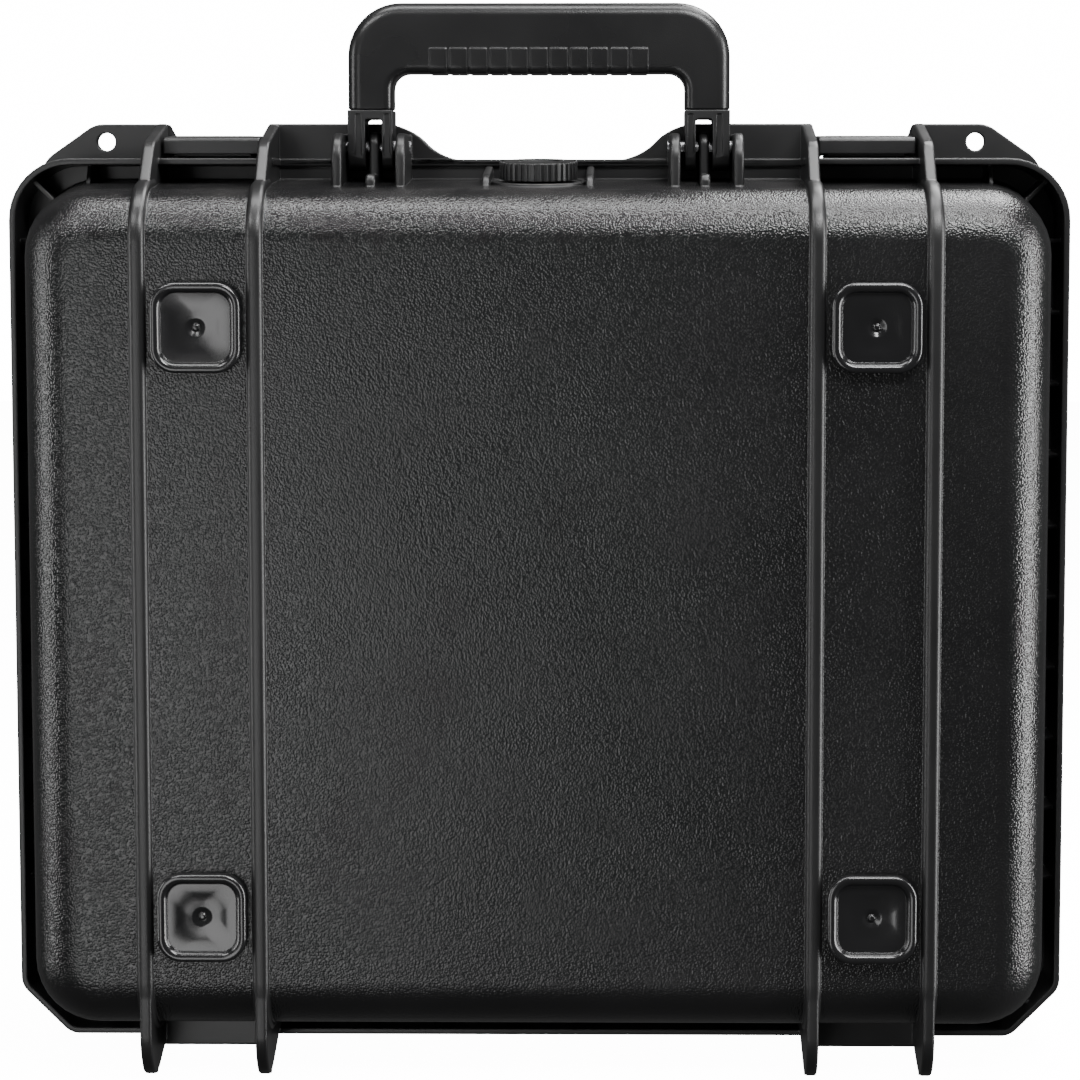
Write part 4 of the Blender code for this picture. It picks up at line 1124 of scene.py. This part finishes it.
def addLidFoam():
    size = foamSizes
    foam = bodyBlock("lidFoam", 1, size["gap"], size["lidTop"])
    editMode()
    pick("FACE", lambda face: abs(outOf(1, middle(face).y) - size["lidTop"]) < 0.0002)
    bpy.ops.mesh.inset(thickness=0.006)
    objectMode()
    pitch, top, middleZ = size["cratePitch"], size["lidTop"], size["crateZ"]
    # the open face is cut into squares, then pushed into rows of hollows
    editMode()
    for axis, count, low, high in size["cuts"]:
        for k in range(count + 1):
            pick("FACE", lambda face: abs(outOf(1, middle(face).y) - top) < 0.0002)
            spot, facing = [0, yAt(1, top), 0.18], [0, 0, 0]
            spot[axis], facing[axis] = low + (high - low) * k / count, 1
            bpy.ops.mesh.bisect(plane_co=spot, plane_no=facing)
    objectMode()
    for vert in foam.data.vertices:
        if abs(outOf(1, vert.co.y) - top) > 0.0002:
            continue
        x, z = vert.co.x, vert.co.z - middleZ
        shares = [(half - abs(place)) / size["fade"] for half, place in zip(size["crateHalf"], (x, z))]
        edgeX, edgeZ = (min(1.0, max(0.0, share)) for share in shares)
        wave = math.cos(2 * math.pi * x / pitch) * math.cos(2 * math.pi * z / pitch)
        vert.co.y += size["crateDeep"] * (1 - wave) / 2 * edgeX * edgeZ
    return foam


baseFoam = finishPiece(addBaseFoam(), "base", ["base_foam"], cutFoam, 40)
lidFoam = finishPiece(addLidFoam(), "lid", ["lid_foam"], cutFoam, 60)
print("foam made:", len(lidFoam.data.polygons), "faces in the lid")


# finishes of the small parts kept as they are
finishes = {
    "seal": sealRubber, "o_ring": sealRubber, "pin": pinSteel, "bush": fittingPlastic, "nut": fittingPlastic,
    "hook": fittingPlastic,
}
for name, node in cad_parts.items():
    if node.hide_render:
        continue
    for word, material in finishes.items():
        if word in name:
            paint(node, material)


stageSizes = {
    "floorSize": 8.0, "floorColour": (0.90, 0.90, 0.90), "floorGlow": 14.0, "fill": 0.10, "backdrop": 16.0,
    "cameraAt": (0.0293, -1.127, 0.330), "pitch": 0.08498, "heading": 0.01163, "lens": 94.22,
    "shift": (-0.0381, -0.0742),
}
bpy.ops.object.select_all(action="DESELECT")
bpy.ops.mesh.primitive_plane_add(size=stageSizes["floorSize"], location=(0, 0, -0.0003))
floor = bpy.context.active_object
floor.name = "floor"
floorMaterial, floorTree, floorShader = newMaterial("paleFloor")
floorShader.inputs["Base Color"].default_value = (*stageSizes["floorColour"], 1)
floorShader.inputs["Roughness"].default_value = 0.8
floorPath = floorTree.nodes.new("ShaderNodeLightPath")
floorGlow = addMath(floorTree, "MULTIPLY", floorPath.outputs["Is Camera Ray"], stageSizes["floorGlow"])
floorShader.inputs["Emission Color"].default_value = (1, 1, 1, 1)
floorTree.links.new(floorGlow, floorShader.inputs["Emission Strength"])
paint(floor, floorMaterial)
# the floor neither lights nor shades the case
floor.visible_diffuse = floor.visible_glossy = floor.visible_shadow = False

world = bpy.data.worlds.new("studio")
bpy.context.scene.world = world
world.use_nodes = True
worldTree = world.node_tree
worldPath = worldTree.nodes.new("ShaderNodeLightPath")
worldStrength = addRange(worldTree, worldPath.outputs["Is Camera Ray"], 0.0, 1.0,
                         stageSizes["fill"], stageSizes["backdrop"])
worldTree.nodes["Background"].inputs["Color"].default_value = (1, 1, 1, 1)
worldTree.links.new(worldStrength, worldTree.nodes["Background"].inputs["Strength"])


def addLamp(name, spot, aim, width, height, power, roll=0.0):
    bpy.ops.object.light_add(type="AREA", location=spot)
    lamp = bpy.context.active_object
    lamp.name = name
    lamp.data.shape = "RECTANGLE"
    lamp.data.size, lamp.data.size_y = width, height
    lamp.data.energy = power
    aimed = (Vector(aim) - Vector(spot)).to_track_quat("-Z", "Y")
    lamp.rotation_euler = (aimed @ Quaternion((0, 0, 1), math.radians(roll))).to_euler()
    return lamp


# place, aim, width, height, power and roll
lamps = {
    "leftBox": ((-0.50, -1.30, 0.00), (-0.15, 0, 0.18), 0.44, 1.00, 5.4, 24.0),
    "leftStrip": ((-1.20, -0.30, 0.22), (0, 0, 0.2), 0.3, 1.0, 7.0),
    "rightStrip": ((1.2, -0.30, 0.25), (0, 0, 0.2), 0.3, 1.2, 22.0),
    "topBox": ((0.45, -0.72, 1.10), (0.1, 0, 0.33), 0.8, 0.22, 18.0),
    "topLeft": ((-0.55, -0.62, 1.00), (-0.1, 0, 0.33), 0.5, 0.16, 5.0),
    "overBox": ((0.05, -0.16, 1.20), (0.05, -0.02, 0.35), 1.0, 0.25, 12.0),
    "backBox": ((0.45, 0.35, 1.2), (0.1, 0, 0.3), 0.6, 0.4, 14.0),
}
for name, values in lamps.items():
    addLamp(name, *values)

bpy.ops.object.camera_add(location=stageSizes["cameraAt"])
camera = bpy.context.active_object
camera.rotation_euler = (math.pi / 2 - stageSizes["pitch"], 0, stageSizes["heading"])
camera.data.lens = stageSizes["lens"]
camera.data.sensor_width = 36
camera.data.shift_x, camera.data.shift_y = stageSizes["shift"]
bpy.context.scene.camera = camera
print("stage set")
